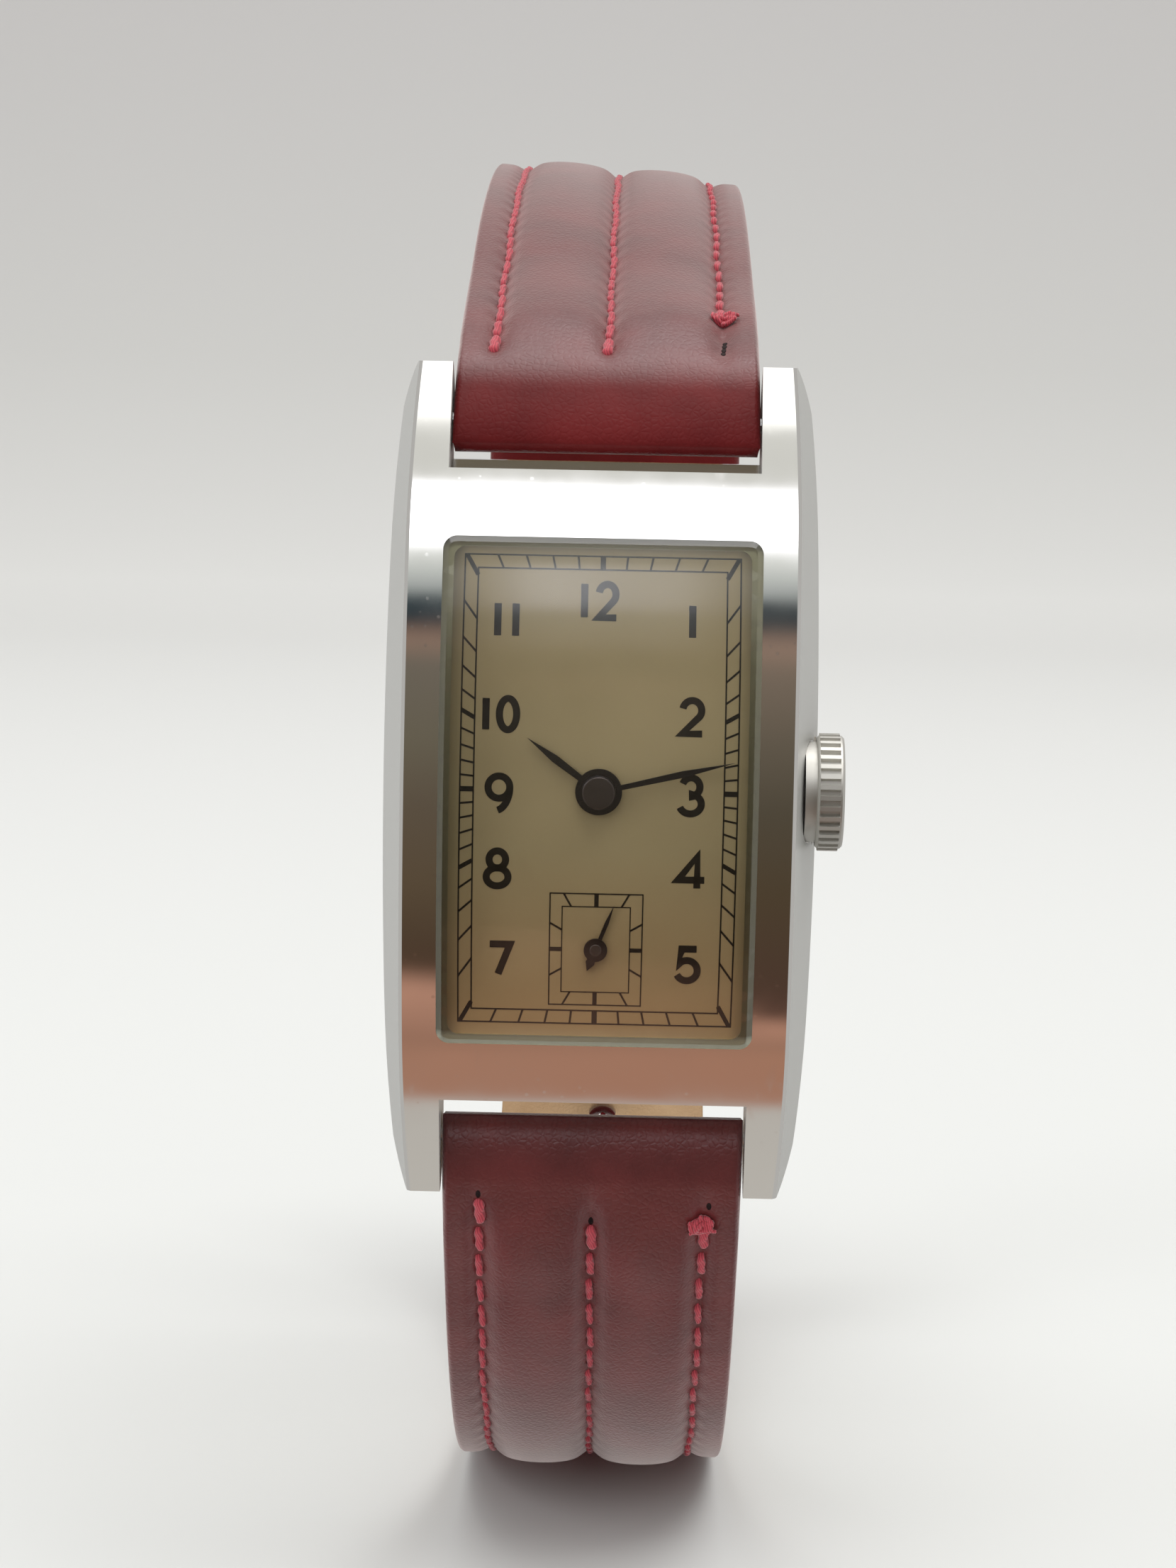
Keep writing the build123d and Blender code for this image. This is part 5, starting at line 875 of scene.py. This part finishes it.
upper_leather = leather_half("upper_leather", UPPER, "upper_strap")
lower_leather = leather_half("lower_leather", LOWER, "lower_strap")
lining_half("upper_lining", UPPER, "upper_strap_lining")
lower_lining = lining_half("lower_lining", LOWER, "lower_strap_lining")
cut(lower_leather, tongue_holes())
cut(lower_lining, tongue_holes())
end_y, end_z = path_frame(UPPER_LENGTH, UPPER)[:2]
slot_corner = world([-SLOT_HALF, end_y - SLOT_BACK, end_z + SLOT_DEEP])
cut(upper_leather, box_cutter(slot_corner, world([SLOT_HALF, end_y + SLOT_AHEAD, end_z - SLOT_DEEP])))


def sewn_piece(name, parts, strap, material):
    """One piece on a strap half from parts, each an array of points and a list of its faces."""
    faces, offset = [], 0
    for points, own_faces in parts:
        faces += [[offset + index for index in face] for face in own_faces]
        offset += len(points)
    mesh_piece(name, np.concatenate([part[0] for part in parts]), faces, strap.body, "leather", material)


def stitch_run(name, strap, spans):
    """Stitches of one half as slim bent capsules.

    Stitch k of a line at x0 has its ends at s = start + k pitch and 0.9 pitch on; its thread lies at a height
    top + 0.11 - 0.3 |2t - 1|^7, and round each point a ring of radius 0.21 (1 - 0.75 |2t - 1|^6) lumpy with the
    twist, the first stitches thicker because they are sewn twice."""
    t = np.linspace(0, 1, 13)
    ring = np.linspace(0, 2 * np.pi, 10, endpoint=False)
    ends = np.abs(2 * t - 1)
    radius = THREAD_R * (1 - 0.75 * ends**6)
    grids = []
    for x_share, first, last in spans:
        starts = np.arange(first, last, STITCH_PITCH)
        s = starts[:, None] + t[None] * STITCH_PITCH * STITCH_SHARE
        wander = 0.05 * np.sin(starts * 7.3 + x_share)[:, None]
        x = half_width(s, strap) * LINE_SHARE * x_share + wander + 0.10 * (t[None] - 0.5)
        height = leather_top(x, s, strap) + 0.11 - 0.3 * ends[None] ** 7
        double = (0.86 + 0.5 * np.exp(-np.arange(len(starts)) / 1.2))[:, None, None]
        twist = 1 + 0.13 * np.cos(2 * ring[None, None] - 15 * t[None, :, None] + starts[:, None, None])
        lumpy = double * radius[None, :, None] * twist
        around = x[..., None] + lumpy * np.cos(ring)[None, None]
        up = height[..., None] + lumpy * np.sin(ring)[None, None]
        grids.append(carried(around, up, np.repeat(s[..., None], len(ring), axis=2), strap))
    single = tube_faces(len(t), len(ring))
    sewn_piece(name, [(stitch.reshape(-1, 3), single) for stitch in np.concatenate(grids)], strap, THREAD)


stitch_run("upper_stitching", UPPER, UPPER_STITCHES)
stitch_run("lower_stitching", LOWER, LOWER_STITCHES)


def keeper(name, back, room, body, replaced):
    """A leather band round the short half: a rounded leather strip carried round a rounded rectangle.

    Round the loop the middle line is |x / a|^9 + |v / b|^9 = 1; the strip's own section is
    |u / 2.49|^5 + |w / 0.44|^3 = 1, with u along the strap and w through the wall, and two shallow creases
    0.05 exp(-((|u| - 1.7) / 0.18)^2) on its outside."""
    around, across = 160, 48
    s_low = UPPER_LENGTH - back - KEEPER_LENGTH
    inner_x = float(half_width(s_low, UPPER)) + room
    low = LINING_BASE - room
    high = low + 2 * room + KEEPER_HEIGHT
    a, b = inner_x + KEEPER_WALL / 2, (high - low) / 2 + KEEPER_WALL / 2
    turn = np.linspace(0, 2 * np.pi, around, endpoint=False)
    cos, sin = np.cos(turn), np.sin(turn)
    reach = (np.abs(cos) ** 9 + np.abs(sin) ** 9) ** (-1 / 9)
    line_x, line_v = a * cos * reach, b * sin * reach
    d_x, d_v = np.roll(line_x, -1) - np.roll(line_x, 1), np.roll(line_v, -1) - np.roll(line_v, 1)
    step = np.hypot(d_x, d_v)
    out_x, out_v = d_v / step, -d_x / step
    section = np.linspace(0, 2 * np.pi, across, endpoint=False)
    ring_u = signed_power(np.cos(section), 0.4) * (KEEPER_LENGTH / 2 - 0.01)
    ring_w = signed_power(np.sin(section), 0.66) * (KEEPER_WALL / 2 - 0.01)
    ring_w = ring_w - 0.05 * np.exp(-(((np.abs(ring_u) - 1.7) / 0.18) ** 2)) * (ring_w > 0)
    x = line_x[:, None] + out_x[:, None] * ring_w[None]
    v = (high + low) / 2 + line_v[:, None] + out_v[:, None] * ring_w[None]
    s = np.broadcast_to(s_low + KEEPER_LENGTH / 2 + ring_u[None], x.shape)
    band = mesh_piece(name, carried(x, v, s, UPPER), grid_faces(around, across, True, True), body, "leather")
    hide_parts(replaced)


keeper("keeper_sewn", FIXED_KEEPER_BACK, SEWN_ROOM, "upper_strap_half", "fixed_keeper")
keeper("keeper_sliding", FREE_KEEPER_BACK, KEEPER_ROOM, "free_keeper", "free_keeper")


def on_leather(x, s, strap, lift):
    """Places points given as x across, length s and lift above the leather's outside, in one list."""
    return carried(x, leather_top(x, s, strap) + lift, s, strap).reshape(-1, 3)


def thread_knot(name, x0, s0, strap):
    """A tied knot: three lumpy rings, each a torus bent by waves of its own angle, and six cut ends.

    Ring k runs x = R cos a, s = 0.9 R sin a, lift = 0.42 - 0.13 k + 0.07 sin(2a + 1.3 k), where
    R = reach (1 + 0.18 sin(3a + 2.1 k)) and the thread's radius is 0.17 + 0.02 sin(5a + k)."""
    turns, sides, steps = 24, 8, 7
    a = np.linspace(0, 2 * np.pi, turns, endpoint=False)[:, None]
    b = np.linspace(0, 2 * np.pi, sides, endpoint=False)[None]
    parts = []
    for k, reach in enumerate((0.2, 0.36, 0.5)):
        thread = 0.17 + 0.02 * np.sin(5 * a + k)
        big = reach * (1 + 0.18 * np.sin(3 * a + 2.1 * k)) + thread * np.cos(b)
        lift = 0.42 - 0.13 * k + 0.07 * np.sin(2 * a + 1.3 * k) + thread * np.sin(b)
        points = on_leather(x0 + big * np.cos(a), s0 + 0.9 * big * np.sin(a), strap, lift)
        parts.append((points, grid_faces(turns, sides, True, True)))
    t = np.linspace(0, 1, steps)[:, None]
    thin = 0.16 * (1 - 0.35 * t**2)
    for angle, long in ((0.3, 0.8), (1.5, 0.55), (2.6, 0.75), (3.6, 0.8), (4.6, 0.7), (5.7, 0.72)):
        x = x0 + long * math.cos(angle) * t - thin * np.cos(b) * math.sin(angle)
        s = s0 + long * math.sin(angle) * t + thin * np.cos(b) * math.cos(angle)
        lift = 0.3 - 0.12 * t + 0.08 * np.sin(3 * t + angle) + thin * np.sin(b)
        parts.append((on_leather(x, s, strap, lift), tube_faces(steps, sides)))
    sewn_piece(name, parts, strap, THREAD)


def needle_holes(name, spots, strap):
    """Prick marks where the stitch lines end, dark with the painted shade of the holes: small elliptical domes
    lift = 0.012 + 0.03 (1 - r^2).
    """
    sides = 16
    r = np.array([1.0, 0.6, 0.15])[:, None]
    a = np.linspace(0, 2 * np.pi, sides, endpoint=False)[None]
    lift = 0.012 + 0.03 * (1 - r**2) + np.zeros_like(a)
    parts = []
    for x0, s0 in spots:
        points = on_leather(x0 + PRICK_X * r * np.cos(a), s0 + PRICK_S * r * np.sin(a), strap, lift)
        parts.append((points, tube_faces(len(r), sides)))
    sewn_piece(name, parts, strap, HOLE_SHADE)


thread_knot("upper_knot", LINE_X + 0.1, 7.9, UPPER)
thread_knot("lower_knot", LINE_X * 0.985, 4.4, LOWER)
needle_holes("upper_needle_holes", UPPER_PRICKS, UPPER)
needle_holes("lower_needle_holes", LOWER_PRICKS, LOWER)

# Stage, lights and camera
FLOOR_Z = float(cad_box[0][2]) - 0.00005


def stage_sheet(name, grid, material):
    """A sheet of the stage from a grid of points in row metres."""
    mesh = bpy.data.meshes.new(name)
    mesh.from_pydata(grid.reshape(-1, 3).tolist(), [], grid_faces(*grid.shape[:2]))
    mesh.materials.append(material)
    sheet = new_object(name, mesh)
    return sheet


def backdrop():
    """A pale table that bends up: flat to y = 0.75 m, a quarter round of radius 0.5 m, then straight up."""
    t = np.linspace(0, np.pi / 2, 24)
    y = np.concatenate([[-0.8], np.linspace(-0.2, 0.72, 8), 0.75 + 0.5 * np.sin(t), [1.25]])
    z = np.concatenate([[0], np.zeros(8), 0.5 * (1 - np.cos(t)), [2.2]]) + FLOOR_Z
    grid = np.stack(np.broadcast_arrays(np.array([-2.0, 2.0])[None], y[:, None], z[:, None]), axis=-1)
    material, tree, shader = new_material("backdrop_paper_shaded")
    # Painted light and shade: the paper lightens towards the bend and darkens up the wall
    depth = spread(tree, axes_of(tree, object_coordinates(tree))["Y"], 0.1, 1.15)
    colour = ramp(
        tree, depth, (0.0, (0.76, 0.775, 0.765)), (0.28, (0.79, 0.80, 0.79)), (0.7, (0.84, 0.845, 0.83)),
        (0.86, (0.68, 0.68, 0.665)), (1.0, (0.61, 0.60, 0.595)),
    )
    feed(tree, shader, Base_Color=colour, Roughness=0.85)
    sweep = stage_sheet("backdrop", grid, material)
    sweep.data.shade_smooth()
    sweep.visible_glossy = False
    sweep.visible_transmission = False


backdrop()

# Each band: degrees of elevation and radiance at the case's left, then at its right where they differ
FRONT_BANDS = [
    (-90, (0.6, 0.58, 0.54)), (-55, (0.56, 0.53, 0.49)), (-53.5, (0.42, 0.22, 0.15), -53.5, (0.42, 0.21, 0.14)),
    (-47, (0.44, 0.23, 0.155), -46, (0.43, 0.22, 0.145)),
    (-44.5, (0.36, 0.19, 0.13), -44.5, (0.38, 0.2, 0.135)), (-35, (0.56, 0.3, 0.21), -41.5, (0.5, 0.26, 0.18)),
    (-32.5, (0.075, 0.045, 0.028), -39.5, (0.085, 0.045, 0.033)),
    (-20, (0.12, 0.085, 0.052), -20, (0.085, 0.06, 0.035)), (-8, (0.13, 0.1, 0.07), -8, (0.09, 0.075, 0.052)),
    (2, (0.16, 0.14, 0.1), 2, (0.14, 0.115, 0.085)), (13, (0.17, 0.15, 0.12), 13, (0.22, 0.17, 0.13)),
    (16.5, (0.3, 0.2, 0.15), 16.5, (0.36, 0.24, 0.18)), (18.5, (0.16, 0.11, 0.09), 18.5, (0.16, 0.12, 0.1)),
    (19.6, (0.025, 0.04, 0.05), 19.6, (0.04, 0.05, 0.055)),
    (22.6, (0.03, 0.05, 0.06), 22.6, (0.05, 0.06, 0.065)), (24.2, (0.42, 0.45, 0.44)), (30, (0.85, 0.87, 0.83)),
    (32.5, (3.3, 3.3, 3.45), 32.5, (2.3, 2.3, 2.4)), (39, (3.3, 3.3, 3.45), 39, (2.3, 2.3, 2.4)),
    (40.5, (0.72, 0.72, 0.68)), (49, (0.76, 0.76, 0.72)), (51, (1.7, 1.7, 1.65)), (90, (1.4, 1.4, 1.35)),
]
CARD_LEFT, CARD_RIGHT, CARD_HALF, CARD_RADIUS = -0.036, 0.027, 0.24, 0.45
CARD_BLUR, BLUR_REACH, FADE_START, FADE_END, FADE = 0.8, 6, 0.05, 0.12, 0.75


def reflector(name, bands):
    """A curved card seen only in reflections: radiance follows each point's elevation as seen from the watch.

    A point at elevation e is (x, -radius cos e, radius sin e); its colour is read from the bands at e, where
    every band slides from its left to its right elevation and colour across the card, and fades far out."""
    e = np.linspace(-88, 88, 353)
    x = np.linspace(-CARD_HALF, CARD_HALF, 23)
    kernel = np.exp(-0.5 * (np.arange(-BLUR_REACH, BLUR_REACH + 1) / CARD_BLUR) ** 2)
    kernel /= kernel.sum()
    columns = []
    for share in np.clip((x - CARD_LEFT) / (CARD_RIGHT - CARD_LEFT), 0, 1):
        edges = np.array([band[0] * (1 - share) + band[-2] * share for band in bands])
        colours = np.array([np.array(band[1]) * (1 - share) + np.array(band[-1]) * share for band in bands])
        sharp = [np.pad(np.interp(e, edges, colours[:, c]), BLUR_REACH, mode="edge") for c in range(3)]
        columns.append([np.convolve(line, kernel, mode="valid") for line in sharp])
    glow = np.transpose(np.array(columns), (2, 0, 1))
    glow = glow * (1 - FADE * ease(np.abs(x), FADE_START, FADE_END))[None, :, None]
    turn = np.radians(e)[:, None]
    out, up = -CARD_RADIUS * np.cos(turn), CARD_RADIUS * np.sin(turn)
    grid = np.stack(np.broadcast_arrays(x[None], out, up), axis=-1)
    material, tree, shader = new_material(name)
    tree.nodes.remove(shader)
    colour = place(tree, "ShaderNodeAttribute", attribute_name="glow").outputs["Color"]
    light = place(tree, "ShaderNodeEmission", _Color=colour).outputs["Emission"]
    feed(tree, tree.nodes["Material Output"], Surface=light)
    card = stage_sheet(name, grid, material)
    layer = card.data.color_attributes.new("glow", "FLOAT_COLOR", "POINT")
    values = np.concatenate([glow.reshape(-1, 3), np.ones((len(e) * len(x), 1))], axis=1)
    layer.data.foreach_set("color", values.astype(np.float32).ravel())
    card.visible_camera = False
    card.visible_diffuse = False
    card.visible_shadow = False
    card.visible_transmission = True
    card.visible_volume_scatter = False


reflector("front_reflector", FRONT_BANDS)

sky = bpy.data.worlds.new("studio")
bpy.context.scene.world = sky
sky.use_nodes = True
feed(sky.node_tree, sky.node_tree.nodes["Background"], Color=(1.0, 0.985, 0.96, 1), Strength=0.52)


def softbox(name, where, target, size, power, colour=(1, 1, 1)):
    """A rectangular area light turned to face a point."""
    light = bpy.data.lights.new(name, "AREA")
    light.shape = "RECTANGLE"
    light.size, light.size_y = size
    light.energy = power
    light.color = colour
    lamp = new_object(name, light)
    lamp.location = where
    aim = np.subtract(target, where)
    forward = aim / np.linalg.norm(aim)
    side = np.cross(forward, [0, 0, 1])
    side /= np.linalg.norm(side)
    up = np.cross(side, forward)
    lamp.rotation_mode = "QUATERNION"
    lamp.rotation_quaternion = Matrix(np.stack([side, up, -forward], axis=1).tolist()).to_quaternion()


softbox("ceiling", (0.1, -0.15, 0.75), (0, 0.05, 0), (0.7, 0.5), 3.6, (1.0, 0.99, 0.97))
softbox("left_window", (-0.7, -0.35, 0.35), (0, 0, 0), (0.5, 0.5), 1.5, (0.97, 0.98, 1.0))
softbox("backdrop_fill", (0.0, 0.3, 0.9), (0, 0.9, 0.0), (1.2, 0.5), 3.5)

# The photograph's camera: 200 mm from the dial plane, slightly above and turned
IMAGE_LONG_SIDE = 2212
FOCAL_PIXELS = 5389.6
SENSOR = 36
YAW, PITCH, ROLL = 0.0133, -0.1069, -0.0200
CAMERA_PLACE = (0.0020351, -0.2, 0.0212869)
camera_data = bpy.data.cameras.new("camera")
camera_data.sensor_width = SENSOR
camera_data.lens = SENSOR * FOCAL_PIXELS / IMAGE_LONG_SIDE
camera_data.clip_start, camera_data.clip_end = 0.01, 10
camera = new_object("camera", camera_data)
turned = Matrix.Rotation(YAW, 3, "Z") @ Matrix.Rotation(PITCH, 3, "X") @ Matrix.Rotation(ROLL, 3, "Y")
axes = turned @ Matrix(((1, 0, 0), (0, 0, -1), (0, 1, 0)))
camera.matrix_world = Matrix.Translation(CAMERA_PLACE) @ axes.to_4x4()
bpy.context.scene.camera = camera
bpy.context.scene.view_settings.view_transform = "Standard"
